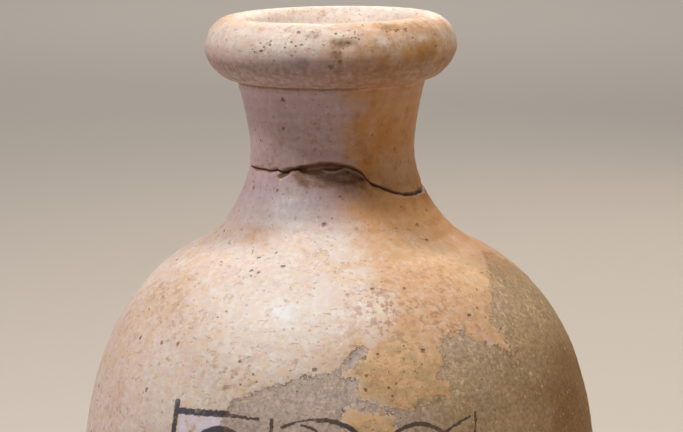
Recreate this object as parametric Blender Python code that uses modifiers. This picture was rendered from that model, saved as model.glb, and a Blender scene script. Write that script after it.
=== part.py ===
"""A handmade pottery jar: an egg-shaped body, a waisted neck and a thick rolled rim.

The neck once broke off and was set back, so an open joint line wanders round it, the piece above the
line leans a little, and the edge below the line has lost a flake.
Units are metres, +Z is up, and the origin is the middle of the flat underside. The side with the
painted panel faces -Y.
"""

import math

import bmesh
import bpy
from mathutils import Matrix, Vector
from mathutils.geometry import interpolate_bezier

# Heights, stacked from the table up
BODY_RISE = 0.145  # underside to the widest ring
SHOULDER_RISE = 0.1133  # widest ring to where the shoulder turns into the neck
WAIST_RISE = 0.0417  # that turn to the narrowest ring of the neck
FLARE_RISE = 0.0308  # narrowest ring to the underside of the rim
ROLL_HEIGHT = 0.0292  # underside of the rim to its crest

# Outer radii
BASE_RADIUS = 0.048
BODY_RADIUS = 0.1165
SHOULDER_RADIUS = 0.0613
WAIST_RADIUS = 0.0365
FLARE_RADIUS = 0.0418
ROLL_RADIUS = 0.0560
CREST_RADIUS = 0.0435

# Walls
BODY_WALL = 0.0080
NECK_WALL = 0.0085
FLOOR = 0.0100
MOUTH_DEPTH = 0.0420  # from the crest down to where the neck's bore starts to open

# Small forms
FOOT_EDGE = 0.0030  # bevel between underside and wall
FLOOR_EDGE = 0.0060  # bevel between floor and wall, inside
SHOULDER_SLOPE = math.radians(26.6)  # rise of the outline above level, where it turns
ROLL_BELLY = 0.0150  # the rim's widest ring above its underside
ROLL_STEP = 0.0010  # how far the rim's lower edge stands proud of the neck

# Fullness of the outline: where its curves' handles lie, as shares of the run beside them
FOOT_SWEEP = 0.42  # outwards, as the wall leaves the foot
FOOT_LIFT = 0.14
BELLY_FULLNESS = 0.58  # height at which the lower wall aims straight up
SHOULDER_FULLNESS = 0.53
SHOULDER_REACH = 0.66
TURN_REACH = 0.60
WAIST_FULLNESS = 0.36
FLARE_EASE = 0.30
FLARE_SWEEP = 0.68
ROLL_SQUARENESS = 1.2  # above 1, the rim's underside is flatter than an oval
LIP_EASE = 0.55
BORE_EASE = 0.45

# The mended break
BREAK_DROP = 0.0090  # mean height of the joint line, below the narrowest ring
BREAK_WIDTH = 0.0018
BREAK_DEPTH = 0.0018
BREAK_REACH = 0.0280  # how far above and below the line its waves carry the rings of the mesh
BREAK_LINE = (  # azimuth from the front, in degrees, and rise above the mean height
    (-90, 0.0025),
    (-60, 0.0027),
    (-40, 0.0034),
    (-20, 0.0060),
    (0, 0.0070),
    (13, 0.0056),
    (20, 0.0030),
    (25, -0.0010),
    (35, -0.0048),
    (50, -0.0080),
    (63, -0.0092),
    (78, -0.0080),
    (100, -0.0045),
    (125, 0.0010),
    (150, 0.0045),
    (175, 0.0020),
    (200, -0.0035),
    (225, -0.0050),
    (250, 0.0000),
    (270, 0.0025),
)
NECK_SHIFT = -0.0031  # along X, of the piece above the line
SHOULDER_SHIFT = -0.0023  # along X, of the wall just below the line
SHIFT_DROP = 0.0430  # the wall starts to leave the axis this far below the shoulder's turn
NECK_LEAN = math.radians(0.9)  # turn of the piece above the line about Y, its left side down

# Flakes lost: one just under the joint line, one on the rim just outside its crest
NECK_FLAKE_AZIMUTH = -3.0  # degrees from the front
NECK_FLAKE_DROP = 0.0055  # its middle, below the joint line
NECK_FLAKE_SIZE = (0.0300, 0.0128)  # width and height
NECK_FLAKE_DEPTH = 0.0022
RIM_FLAKE_AZIMUTH = 31.0
RIM_FLAKE_DROP = 0.0030  # its middle, below the crest
RIM_FLAKE_SIZE = (0.0150, 0.0080)
RIM_FLAKE_DEPTH = 0.0011
FLAKE_BULGE = 4.0  # roundness of a flake's hollow: its cutter's half thickness over its depth

# Smoothness of the facets
SEGMENTS = 72
LOWER_STEPS = 8
SHOULDER_STEPS = 8
HOLLOW_STEPS = 5
FLARE_STEPS = 4
ROLL_STEPS = 4
LIP_STEPS = 4
NECK_BORE_STEPS = 3
FLAKE_SEGMENTS = 20
SAMPLES = 60  # fine points of each curve that the rings are read from
SLOPE_SPAN = 0.0005  # half the height over which a flake's place reads the wall's slope
MERGE = 0.00001
SHARP_ANGLE = math.radians(40.0)  # edges that turn more than this stay crisp

SHOULDER_HEIGHT = BODY_RISE + SHOULDER_RISE
WAIST_HEIGHT = SHOULDER_HEIGHT + WAIST_RISE
BREAK_HEIGHT = WAIST_HEIGHT - BREAK_DROP
SHIFT_START = SHOULDER_HEIGHT - SHIFT_DROP
ROLL_BOTTOM = WAIST_HEIGHT + FLARE_RISE
HEIGHT = ROLL_BOTTOM + ROLL_HEIGHT


def clear_scene():
    """Remove every object of the scene."""
    for item in list(bpy.data.objects):
        bpy.data.objects.remove(item)


def new_collection(name):
    """Make a collection and link it to the scene."""
    group = bpy.data.collections.new(name)
    bpy.context.scene.collection.children.link(group)
    return group


def clay_material():
    """The fired clay under its worn cream coat."""
    material = bpy.data.materials.new("coated_clay")
    material.use_nodes = True
    shader = material.node_tree.nodes["Principled BSDF"]
    shader.inputs["Base Color"].default_value = (0.60, 0.47, 0.35, 1.0)
    shader.inputs["Roughness"].default_value = 0.55
    shader.inputs["Metallic"].default_value = 0.0
    return material


def curve(start, first_handle, last_handle, end, steps):
    """Points of one cubic curve in the (radius, height) plane, both ends included."""
    ends = [Vector(point) for point in (start, first_handle, last_handle, end)]
    return interpolate_bezier(*ends, steps + 1)


def blend(share):
    """Smooth step from 0 to 1 as share goes from 0 to 1."""
    share = min(max(share, 0.0), 1.0)
    return share * share * (3.0 - 2.0 * share)


def radius_at(height, points):
    """Radius at a height, read from points that rise."""
    for lower, upper in zip(points, points[1:]):
        if height <= upper.y:
            share = (height - lower.y) / (upper.y - lower.y)
            return lower.x + (upper.x - lower.x) * share
    return points[-1].x


def lower_body(steps):
    """Outline from the foot to the widest ring, bottom to top."""
    spread = BODY_RADIUS - BASE_RADIUS
    return curve(
        (BASE_RADIUS, FOOT_EDGE),
        (BASE_RADIUS + FOOT_SWEEP * spread, FOOT_LIFT * BODY_RISE),
        (BODY_RADIUS, BELLY_FULLNESS * BODY_RISE),
        (BODY_RADIUS, BODY_RISE),
        steps,
    )


def shoulder(steps):
    """Outline from the widest ring to where it turns into the neck, bottom to top."""
    reach = SHOULDER_REACH * (BODY_RADIUS - SHOULDER_RADIUS) / math.cos(SHOULDER_SLOPE)
    turn = Vector((SHOULDER_RADIUS, SHOULDER_HEIGHT))
    along = Vector((-math.cos(SHOULDER_SLOPE), math.sin(SHOULDER_SLOPE)))
    return curve(
        (BODY_RADIUS, BODY_RISE),
        (BODY_RADIUS, BODY_RISE + SHOULDER_FULLNESS * SHOULDER_RISE),
        turn - along * reach,
        turn,
        steps,
    )


def neck(steps):
    """Outline from the turn of the shoulder to the underside of the rim, bottom to top."""
    reach = TURN_REACH * (SHOULDER_RADIUS - WAIST_RADIUS)
    turn = Vector((SHOULDER_RADIUS, SHOULDER_HEIGHT))
    along = Vector((-math.cos(SHOULDER_SLOPE), math.sin(SHOULDER_SLOPE)))
    hollow = curve(
        turn,
        turn + along * reach,
        (WAIST_RADIUS, WAIST_HEIGHT - WAIST_FULLNESS * WAIST_RISE),
        (WAIST_RADIUS, WAIST_HEIGHT),
        steps,
    )
    flare = curve(
        (WAIST_RADIUS, WAIST_HEIGHT),
        (WAIST_RADIUS, WAIST_HEIGHT + FLARE_EASE * FLARE_RISE),
        (0.5 * (WAIST_RADIUS + FLARE_RADIUS), WAIST_HEIGHT + FLARE_SWEEP * FLARE_RISE),
        (FLARE_RADIUS, ROLL_BOTTOM),
        steps,
    )
    return hollow + flare[1:]


def grooved_neck():
    """The neck's rings at even heights, with the joint line's groove among them, bottom to top."""
    fine = neck(SAMPLES)
    low_edge = BREAK_HEIGHT - 0.5 * BREAK_WIDTH
    high_edge = BREAK_HEIGHT + 0.5 * BREAK_WIDTH
    heights = [
        SHOULDER_HEIGHT + (low_edge - SHOULDER_HEIGHT) * step / HOLLOW_STEPS
        for step in range(1, HOLLOW_STEPS + 1)
    ]
    rings = [Vector((radius_at(height, fine), height)) for height in heights]
    rings.append(Vector((radius_at(BREAK_HEIGHT, fine) - BREAK_DEPTH, BREAK_HEIGHT)))
    heights = [
        high_edge + (ROLL_BOTTOM - high_edge) * step / FLARE_STEPS
        for step in range(FLARE_STEPS + 1)
    ]
    rings += [Vector((radius_at(height, fine), height)) for height in heights]
    return rings


def rolled_rim():
    """The rim's outer face from its lower edge to the crest: two quarters of an oval."""
    edge_radius = FLARE_RADIUS + ROLL_STEP
    widest = ROLL_BOTTOM + ROLL_BELLY
    points = [Vector((edge_radius, ROLL_BOTTOM + 0.5 * ROLL_STEP))]
    for step in range(1, ROLL_STEPS + 1):
        turn = 0.5 * math.pi * step / ROLL_STEPS
        out = math.sin(turn) ** ROLL_SQUARENESS
        down = math.cos(turn) ** ROLL_SQUARENESS
        radius = edge_radius + (ROLL_RADIUS - edge_radius) * out
        height = widest - (widest - ROLL_BOTTOM - ROLL_STEP) * down
        points.append(Vector((radius, height)))
    for step in range(1, ROLL_STEPS + 1):
        turn = 0.5 * math.pi * step / ROLL_STEPS
        radius = CREST_RADIUS + (ROLL_RADIUS - CREST_RADIUS) * math.cos(turn)
        height = widest + (HEIGHT - widest) * math.sin(turn)
        points.append(Vector((radius, height)))
    return points


def mouth():
    """The bore's opening, from the crest down to the neck's straight bore, top to bottom."""
    bore = WAIST_RADIUS - NECK_WALL
    points = curve(
        (CREST_RADIUS, HEIGHT),
        (CREST_RADIUS - LIP_EASE * (CREST_RADIUS - bore), HEIGHT),
        (bore, HEIGHT - BORE_EASE * MOUTH_DEPTH),
        (bore, HEIGHT - MOUTH_DEPTH),
        LIP_STEPS,
    )
    return points[1:]


def inner_wall():
    """The hollow's side from the bore down to the floor: the outline moved in by the wall."""
    outline = lower_body(SAMPLES) + shoulder(SAMPLES)[1:] + neck(SAMPLES)[1:]
    moved = []
    for before, here, after in zip(outline, outline[1:], outline[2:]):
        along = (after - before).normalized()
        share = blend((here.y - BODY_RISE) / (WAIST_HEIGHT - BODY_RISE))
        wall = BODY_WALL + (NECK_WALL - BODY_WALL) * share
        moved.append(here + Vector((-along.y, along.x)) * wall)
    side = [point for point in moved if FLOOR + FLOOR_EDGE < point.y < HEIGHT - MOUTH_DEPTH]
    waist = [point for point in side if point.y < WAIST_HEIGHT]
    bore_bottom = max(waist, key=lambda point: point.y)
    count = LOWER_STEPS + SHOULDER_STEPS + NECK_BORE_STEPS
    picked = [waist[round(step * (len(waist) - 1) / count)] for step in range(count)]
    picked.append(Vector((WAIST_RADIUS - NECK_WALL, bore_bottom.y)))
    return picked[::-1]


def profile():
    """The closed outline, from the middle of the floor over the rim to the middle underneath."""
    inside = mouth() + inner_wall()
    floor_corner = Vector((inside[-1].x - FLOOR_EDGE, FLOOR))
    outside = lower_body(LOWER_STEPS) + shoulder(SHOULDER_STEPS)[1:] + grooved_neck() + rolled_rim()
    foot = Vector((BASE_RADIUS - FOOT_EDGE, 0.0))
    rising = [Vector((0.0, FLOOR)), floor_corner] + inside[::-1]
    return rising + outside[::-1] + [foot, Vector((0.0, 0.0))]


def break_rise(azimuth):
    """Rise of the joint line above its mean height, at an azimuth in degrees from the front."""
    azimuth = (azimuth + 90.0) % 360.0 - 90.0
    for (start, low), (end, high) in zip(BREAK_LINE, BREAK_LINE[1:]):
        if azimuth <= end:
            return low + (high - low) * blend((azimuth - start) / (end - start))
    return BREAK_LINE[-1][1]


def azimuth_of(point):
    """Angle round the jar from the front, -Y, towards +X, in degrees."""
    return math.degrees(math.atan2(point.x, -point.y))


def follow_break(point, fine):
    """Carry an outer ring of the neck up and down with the joint line, along the neck's outline."""
    near = 1.0 - abs(point.z - BREAK_HEIGHT) / BREAK_REACH
    radius = math.hypot(point.x, point.y)
    outer = radius_at(point.z, fine)
    if near <= 0.0 or radius < outer - 0.5 * NECK_WALL:
        return point
    height = point.z + break_rise(azimuth_of(point)) * near
    new_radius = radius + radius_at(height, fine) - outer
    return Vector((point.x * new_radius / radius, point.y * new_radius / radius, height))


def set_on_axis(point, above):
    """Lean a point that belongs above the joint line, or shift one below it, by their shares."""
    pivot = Vector((0.0, 0.0, BREAK_HEIGHT))
    leaned = Matrix.Rotation(-NECK_LEAN, 3, "Y") @ (point - pivot) + pivot
    leaned.x += NECK_SHIFT
    drift = blend((point.z - SHIFT_START) / (BREAK_HEIGHT - SHIFT_START))
    shifted = point + Vector((SHOULDER_SHIFT * drift, 0.0, 0.0))
    return shifted.lerp(leaned, above)


def turned_body():
    """Turn the profile into a closed mesh with a Screw modifier and return the plain mesh."""
    points = profile()
    outline = bpy.data.meshes.new("jar_profile")
    edges = [(index, index + 1) for index in range(len(points) - 1)]
    outline.from_pydata([(point.x, 0.0, point.y) for point in points], edges, [])
    turned = bpy.data.objects.new("jar_profile", outline)
    bpy.context.scene.collection.objects.link(turned)
    screw = turned.modifiers.new("turn", "SCREW")
    screw.axis = "Z"
    screw.angle = 2.0 * math.pi
    screw.steps = SEGMENTS
    screw.render_steps = SEGMENTS
    screw.use_merge_vertices = True
    screw.merge_threshold = MERGE
    bpy.context.view_layer.update()
    evaluated = turned.evaluated_get(bpy.context.evaluated_depsgraph_get())
    mesh = bpy.data.meshes.new_from_object(evaluated)
    bpy.data.objects.remove(turned)
    return mesh


def shaped_body():
    """The turned mesh with its joint line waved and its neck set back off the axis."""
    mesh = turned_body()
    fine = shoulder(SAMPLES) + neck(SAMPLES)[1:]
    low_edge = BREAK_HEIGHT - 0.5 * BREAK_WIDTH
    for vertex in mesh.vertices:
        above = blend((vertex.co.z - low_edge) / BREAK_WIDTH)
        vertex.co = set_on_axis(follow_break(vertex.co, fine), above)
    mesh.name = "jar"
    return mesh


def flake_cutter(name, azimuth, height, size, depth, above, group):
    """A flattened ball that scoops a flake off the outer wall, square to the wall there.

    The share above says whether the place belongs to the piece above the joint line (1) or not (0).
    """
    outline = neck(SAMPLES) + rolled_rim()
    rise = radius_at(height - SLOPE_SPAN, outline) - radius_at(height + SLOPE_SPAN, outline)
    tilt = math.atan2(rise, 2.0 * SLOPE_SPAN)
    turn = math.radians(azimuth)
    bulge = FLAKE_BULGE * depth
    reach = radius_at(height, outline) + (bulge - depth) * math.cos(tilt)
    ball = bmesh.new()
    bmesh.ops.create_uvsphere(
        ball, u_segments=FLAKE_SEGMENTS, v_segments=FLAKE_SEGMENTS // 2, radius=1.0
    )
    bmesh.ops.scale(ball, vec=(0.5 * size[0], bulge, 0.5 * size[1]), verts=ball.verts)
    mesh = bpy.data.meshes.new(name)
    ball.to_mesh(mesh)
    ball.free()
    cutter = bpy.data.objects.new(name, mesh)
    middle = Vector((
        reach * math.sin(turn),
        -reach * math.cos(turn),
        height + (bulge - depth) * math.sin(tilt),
    ))
    cutter.location = set_on_axis(middle, above)
    cutter.rotation_euler = (-tilt, 0.0, turn)
    cutter.hide_render = True
    cutter.display_type = "WIRE"
    group.objects.link(cutter)
    return cutter


def flake_cutters(group):
    """The cutters of the neck's flake and the rim's."""
    joint_height = BREAK_HEIGHT + break_rise(NECK_FLAKE_AZIMUTH)
    return [
        flake_cutter(
            "neck_flake",
            NECK_FLAKE_AZIMUTH,
            joint_height - NECK_FLAKE_DROP,
            NECK_FLAKE_SIZE,
            NECK_FLAKE_DEPTH,
            0.0,
            group,
        ),
        flake_cutter(
            "rim_flake",
            RIM_FLAKE_AZIMUTH,
            HEIGHT - RIM_FLAKE_DROP,
            RIM_FLAKE_SIZE,
            RIM_FLAKE_DEPTH,
            1.0,
            group,
        ),
    ]


def build():
    """Build the jar and its cutters."""
    clear_scene()
    parts = new_collection("jar")
    cutters = new_collection("cutters")
    jar = bpy.data.objects.new("jar", shaped_body())
    jar.data.materials.append(clay_material())
    parts.objects.link(jar)
    for cutter in flake_cutters(cutters):
        cut = jar.modifiers.new(cutter.name, "BOOLEAN")
        cut.operation = "DIFFERENCE"
        cut.object = cutter
    jar.data.shade_smooth()
    jar.data.set_sharp_from_angle(angle=SHARP_ANGLE)


build()
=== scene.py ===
"""The looks of a mended pottery jar: worn cream coat over grey ware, set on a pale floor.

The jar is one closed surface worked out on a grid of rows and columns, with its relief in the mesh
and its colours in one procedural material. Lengths are metres and angles are degrees, +Z is up, and
azimuth 0 faces the camera (-Y) and grows towards +X.
"""

import logging
import math
from dataclasses import dataclass, field
from enum import Enum

import bpy
import numpy as np
from mathutils import Matrix, Vector


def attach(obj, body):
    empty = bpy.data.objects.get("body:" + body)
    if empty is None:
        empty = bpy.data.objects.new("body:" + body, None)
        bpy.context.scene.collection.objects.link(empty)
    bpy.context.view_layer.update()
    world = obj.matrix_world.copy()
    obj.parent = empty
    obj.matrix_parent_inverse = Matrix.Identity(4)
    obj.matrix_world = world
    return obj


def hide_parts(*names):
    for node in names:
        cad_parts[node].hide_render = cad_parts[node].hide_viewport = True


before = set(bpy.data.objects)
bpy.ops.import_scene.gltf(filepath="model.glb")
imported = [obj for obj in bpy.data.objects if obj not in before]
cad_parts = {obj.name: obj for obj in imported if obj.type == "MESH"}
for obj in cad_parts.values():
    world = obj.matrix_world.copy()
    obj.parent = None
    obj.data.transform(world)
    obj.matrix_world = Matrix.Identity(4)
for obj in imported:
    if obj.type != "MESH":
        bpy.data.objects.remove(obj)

LOG = logging.getLogger("jar")
PHOTO_WIDTH = 683

# The lattice noise mixes whole numbers into fixed random values with these.
LATTICE_OFFSET = 4096
AXIS_FACTORS = (73856093, 19349663, 83492791)
SEED_FACTOR = 2654435761
MIXING = ((15, 2246822519), (13, 3266489917))


class Layer(Enum):
    """What each point of the jar's surface carries for the material."""

    COAT_GAP = "coat_gap"
    RAGGED = "ragged"
    STAIN = "stain"
    COOL = "cool"
    BLUSH = "blush"
    OCHRE = "ochre"
    SPOTTED = "spotted"
    # Pale streaks and worn spots, and a painted highlight on the front of the shoulder.
    PALE_AND_HIGHLIGHT = "pale"
    CHIPPED = "chipped"
    PITTED = "pitted"
    # Soil in the joint, dents and halo, and painted shade under the rim, in the groove, at the front crest
    # and below the hollow.
    SOIL_AND_SHADE = "soil"
    BROWNED = "browned"
    INNER = "inner"


class Part(Enum):
    """Which stretch of the jar's outline a row of the grid lies on."""

    UNDERSIDE = 0
    OUTSIDE = 1
    RIM = 2
    INSIDE = 3


def smooth(value: np.ndarray, low: float, high: float) -> np.ndarray:
    """Smooth step 3t^2 - 2t^3 from 0 at low to 1 at high.

    Args:
        value: the values to step.
        low: where the step starts.
        high: where it ends; it may be less than low.

    Returns:
        The step of each value, from 0 to 1.
    """
    share = np.clip((value - low) / (high - low), 0.0, 1.0)
    return share * share * (3.0 - 2.0 * share)


def bump_at(value: np.ndarray, middle: float, reach: float) -> np.ndarray:
    """A smooth hill.

    Args:
        value: where it is read.
        middle: where it is 1.
        reach: how far on either side it falls to 0.

    Returns:
        The hill's height at each value.
    """
    return smooth(np.abs(value - middle), reach, 0.0)


def lattice_noise(points: np.ndarray, size: float, seed: int) -> np.ndarray:
    """Smooth noise from -1 to 1.

    Each corner of a cubic lattice gets a fixed random value from its whole-number place, and a point
    blends the values of the eight corners round it by smooth steps along each axis.

    Args:
        points: places in metres, with the three axes last.
        size: side of a lattice cell.
        seed: another seed gives another pattern.

    Returns:
        One value for each point.
    """
    cell = points / size
    corner = np.floor(cell).astype(np.int64)
    share = cell - corner
    share = share * share * (3.0 - 2.0 * share)
    total = np.zeros(points.shape[:-1])
    for step in np.ndindex(2, 2, 2):
        place = (corner + np.array(step) + LATTICE_OFFSET).astype(np.uint64)
        keys = [place[..., axis] * np.uint64(factor) for axis, factor in enumerate(AXIS_FACTORS)]
        mixed = keys[0] ^ keys[1] ^ (keys[2] + np.uint64(seed * SEED_FACTOR))
        for shift, factor in MIXING:
            mixed = (mixed ^ (mixed >> np.uint64(shift))) * np.uint64(factor)
        value = (mixed >> np.uint64(7) & np.uint64(65535)).astype(float) / 32767.5 - 1.0
        weight = np.where(np.array(step) == 1, share, 1.0 - share).prod(axis=-1)
        total += value * weight
    return total


def layered_noise(points: np.ndarray, size: float, seed: int, octaves: int = 3) -> np.ndarray:
    """Sum of lattice noises, each of half the size and half the strength of the one before.

    Args:
        points: places in metres, with the three axes last.
        size: cell side of the first noise.
        seed: seed of the first noise.
        octaves: number of noises.

    Returns:
        One value for each point.
    """
    total = np.zeros(points.shape[:-1])
    for octave in range(octaves):
        total += lattice_noise(points, size / 2**octave, seed + octave) / 2**octave
    return total


def cubic(start: tuple, first: tuple, last: tuple, end: tuple, steps: int = 200) -> np.ndarray:
    """Points of a cubic curve in the (radius, height) plane.

    Args:
        start: first point.
        first: handle of the first point.
        last: handle of the last point.
        end: last point.
        steps: number of points.

    Returns:
        The points, from start to end, by the cubic's four weights (1-t)^3, 3(1-t)^2 t, 3(1-t) t^2, t^3.
    """
    t = np.linspace(0.0, 1.0, steps)[:, None]
    rest = 1.0 - t
    weights = (rest**3, 3.0 * rest**2 * t, 3.0 * rest * t**2, t**3)
    return sum(weight * np.array(point) for weight, point in zip(weights, (start, first, last, end)))


def run_length(points: np.ndarray) -> np.ndarray:
    """Length along a line: the running sum of its steps.

    Args:
        points: the line's points.

    Returns:
        The length from the first point to each of them.
    """
    steps = np.linalg.norm(np.diff(points, axis=0), axis=1)
    return np.concatenate([[0.0], np.cumsum(steps)])


def respaced(points: np.ndarray, spacing: np.ndarray) -> np.ndarray:
    """Set a line's points anew at a spacing that may change along it.

    The number of points up to a place is the sum of length over spacing, rounded so that the ends stay.

    Args:
        points: a fine line of points.
        spacing: the wanted spacing at each of them.

    Returns:
        The new points, both ends included.
    """
    length = run_length(points)
    between = 0.5 * (spacing[1:] + spacing[:-1])
    count = np.concatenate([[0.0], np.cumsum(np.diff(length) / between)])
    wanted = np.linspace(0.0, count[-1], max(int(round(count[-1])), 1) + 1)
    place = np.interp(wanted, count, length)
    return np.stack([np.interp(place, length, points[:, axis]) for axis in range(2)], axis=1)


@dataclass
class Outline:
    """The turned outline of the jar: heights stacked from the table up, radii, and walls."""

    body_rise: float = 0.145
    shoulder_rise: float = 0.1133
    waist_rise: float = 0.0417
    flare_rise: float = 0.0308
    roll_height: float = 0.0292
    base_radius: float = 0.048
    body_radius: float = 0.1165
    shoulder_radius: float = 0.0613
    waist_radius: float = 0.0365
    flare_radius: float = 0.0418
    roll_radius: float = 0.0560
    crest_radius: float = 0.0435
    body_wall: float = 0.0080
    neck_wall: float = 0.0085
    floor: float = 0.0100
    mouth_depth: float = 0.0420
    foot_edge: float = 0.0030
    floor_edge: float = 0.0060
    shoulder_slope: float = 26.6
    roll_belly: float = 0.0150
    roll_step: float = 0.0010

    @property
    def shoulder_height(self) -> float:
        """Height of the turn from the shoulder into the neck."""
        return self.body_rise + self.shoulder_rise

    @property
    def waist_height(self) -> float:
        """Height of the narrowest ring."""
        return self.shoulder_height + self.waist_rise

    @property
    def roll_bottom(self) -> float:
        """Height of the rim's underside."""
        return self.waist_height + self.flare_rise

    @property
    def height(self) -> float:
        """Height of the crest."""
        return self.roll_bottom + self.roll_height

    def lower_body(self) -> np.ndarray:
        """Outline from the foot to the widest ring, one cubic curve.

        Returns:
            Its points.
        """
        spread = self.body_radius - self.base_radius
        return cubic(
            (self.base_radius, self.foot_edge),
            (self.base_radius + 0.42 * spread, 0.14 * self.body_rise),
            (self.body_radius, 0.58 * self.body_rise),
            (self.body_radius, self.body_rise),
        )

    def shoulder(self) -> np.ndarray:
        """Outline from the widest ring to the turn into the neck, one cubic curve.

        Returns:
            Its points.
        """
        slope = math.radians(self.shoulder_slope)
        reach = 0.66 * (self.body_radius - self.shoulder_radius)
        return cubic(
            (self.body_radius, self.body_rise),
            (self.body_radius, self.body_rise + 0.53 * self.shoulder_rise),
            (self.shoulder_radius + reach, self.shoulder_height - reach * math.tan(slope)),
            (self.shoulder_radius, self.shoulder_height),
        )

    def neck(self) -> np.ndarray:
        """Outline from that turn over the narrowest ring to the rim's underside, two cubic curves.

        Returns:
            Its points.
        """
        slope = math.radians(self.shoulder_slope)
        reach = 0.6 * (self.shoulder_radius - self.waist_radius)
        hollow = cubic(
            (self.shoulder_radius, self.shoulder_height),
            (
                self.shoulder_radius - reach * math.cos(slope),
                self.shoulder_height + reach * math.sin(slope),
            ),
            (self.waist_radius, self.waist_height - 0.36 * self.waist_rise),
            (self.waist_radius, self.waist_height),
        )
        flare = cubic(
            (self.waist_radius, self.waist_height),
            (self.waist_radius, self.waist_height + 0.30 * self.flare_rise),
            (
                0.5 * (self.waist_radius + self.flare_radius),
                self.waist_height + 0.68 * self.flare_rise,
            ),
            (self.flare_radius, self.roll_bottom),
        )
        return np.concatenate([hollow, flare[1:]])

    def rolled_rim(self) -> np.ndarray:
        """The rim's outer face: two quarters of an oval, the lower one a little flatter below.

        Returns:
            Its points.
        """
        edge = self.flare_radius + self.roll_step
        widest = self.roll_bottom + self.roll_belly
        turn = np.linspace(0.0, 0.5 * np.pi, 60)[:, None]
        drop = widest - self.roll_bottom - self.roll_step
        lower = np.hstack([
            edge + (self.roll_radius - edge) * np.sin(turn) ** 1.2,
            widest - drop * np.cos(turn) ** 1.2,
        ])
        upper = np.hstack([
            self.crest_radius + (self.roll_radius - self.crest_radius) * np.cos(turn),
            widest + (self.height - widest) * np.sin(turn),
        ])
        under = [[edge, self.roll_bottom + 0.5 * self.roll_step]]
        return np.concatenate([under, lower, upper[1:]])

    def mouth(self) -> np.ndarray:
        """The opening, from the crest down to the straight bore, one cubic curve.

        Returns:
            Its points.
        """
        bore = self.waist_radius - self.neck_wall
        return cubic(
            (self.crest_radius, self.height),
            (self.crest_radius - 0.55 * (self.crest_radius - bore), self.height),
            (bore, self.height - 0.45 * self.mouth_depth),
            (bore, self.height - self.mouth_depth),
        )

    def hollow(self) -> np.ndarray:
        """The inner wall from the bore down to the floor: the outline moved in by the wall.

        Returns:
            Its points.
        """
        outer = np.concatenate([self.lower_body(), self.shoulder()[1:], self.neck()[1:]])
        along = np.gradient(outer, axis=0)
        along /= np.linalg.norm(along, axis=1, keepdims=True)
        share = smooth(outer[:, 1], self.body_rise, self.waist_height)
        wall = self.body_wall + (self.neck_wall - self.body_wall) * share
        moved = outer + np.stack([-along[:, 1], along[:, 0]], axis=1) * wall[:, None]
        kept = moved[(moved[:, 1] > self.floor + self.floor_edge) & (outer[:, 1] < self.waist_height)]
        bore = [[self.waist_radius - self.neck_wall, self.waist_height]]
        return np.concatenate([kept, bore])[::-1]

    def outer_line(self) -> np.ndarray:
        """The whole outer face from the foot's edge to the crest.

        Returns:
            Its fine points.
        """
        return np.concatenate([
            self.lower_body(),
            self.shoulder()[1:],
            self.neck()[1:],
            self.rolled_rim(),
        ])


@dataclass
class Rows:
    """The rows of the grid, from the middle of the underside over the rim to the middle of the floor."""

    place: np.ndarray
    part: np.ndarray
    along: np.ndarray


@dataclass
class Spacing:
    """How far apart the rows lie on each stretch of the outline."""

    underside: float = 0.0090
    foot: float = 0.0012
    lower_body: float = 0.0036
    shoulder: float = 0.0021
    neck: float = 0.00110
    joint: float = 0.00030
    joint_reach: float = 0.0110
    rim: float = 0.0014
    mouth: float = 0.0024
    hollow: float = 0.0124

    def rows(self, outline: Outline, joint_height: float) -> Rows:
        """Set the rows along the outline.

        Args:
            outline: the jar's outline.
            joint_height: mean height of the joint line, where the rows lie closest.

        Returns:
            The rows' radii and heights, the part each lies on, and the length along the outer face.
        """
        neck = outline.neck()
        near = smooth(np.abs(neck[:, 1] - joint_height), 0.0, self.joint_reach)
        neck_spacing = self.joint + (self.neck - self.joint) * near
        foot_turn = np.linspace(0.0, 0.5 * np.pi, 20)[:, None]
        foot = np.hstack([
            outline.base_radius - outline.foot_edge * (1.0 - np.sin(foot_turn)),
            outline.foot_edge * (1.0 - np.cos(foot_turn)),
        ])
        underside = np.array([[0.0, 0.0], [outline.base_radius - outline.foot_edge, 0.0]])
        hollow = outline.hollow()
        corner = np.array([hollow[-1], [hollow[-1, 0] - outline.floor_edge, outline.floor]])
        floor = np.array([corner[-1], [0.0, outline.floor]])
        stretches = (
            (underside, self.underside, Part.UNDERSIDE),
            (foot, self.foot, Part.OUTSIDE),
            (outline.lower_body(), self.lower_body, Part.OUTSIDE),
            (outline.shoulder(), self.shoulder, Part.OUTSIDE),
            (neck, neck_spacing, Part.OUTSIDE),
            (outline.rolled_rim(), self.rim, Part.RIM),
            (outline.mouth(), self.mouth, Part.INSIDE),
            (hollow, self.hollow, Part.INSIDE),
            (corner, 0.5 * self.hollow, Part.INSIDE),
            (floor, self.hollow, Part.INSIDE),
        )
        places = []
        parts = []
        for points, spacing, part in stretches:
            line = respaced(points, np.broadcast_to(spacing, len(points)))
            fresh = line if not places or np.hypot(*(line[0] - places[-1][-1])) > 1e-5 else line[1:]
            places.append(fresh)
            parts += [part.value] * len(fresh)
        place = np.concatenate(places)
        return Rows(place, np.array(parts), run_length(place))


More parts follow.
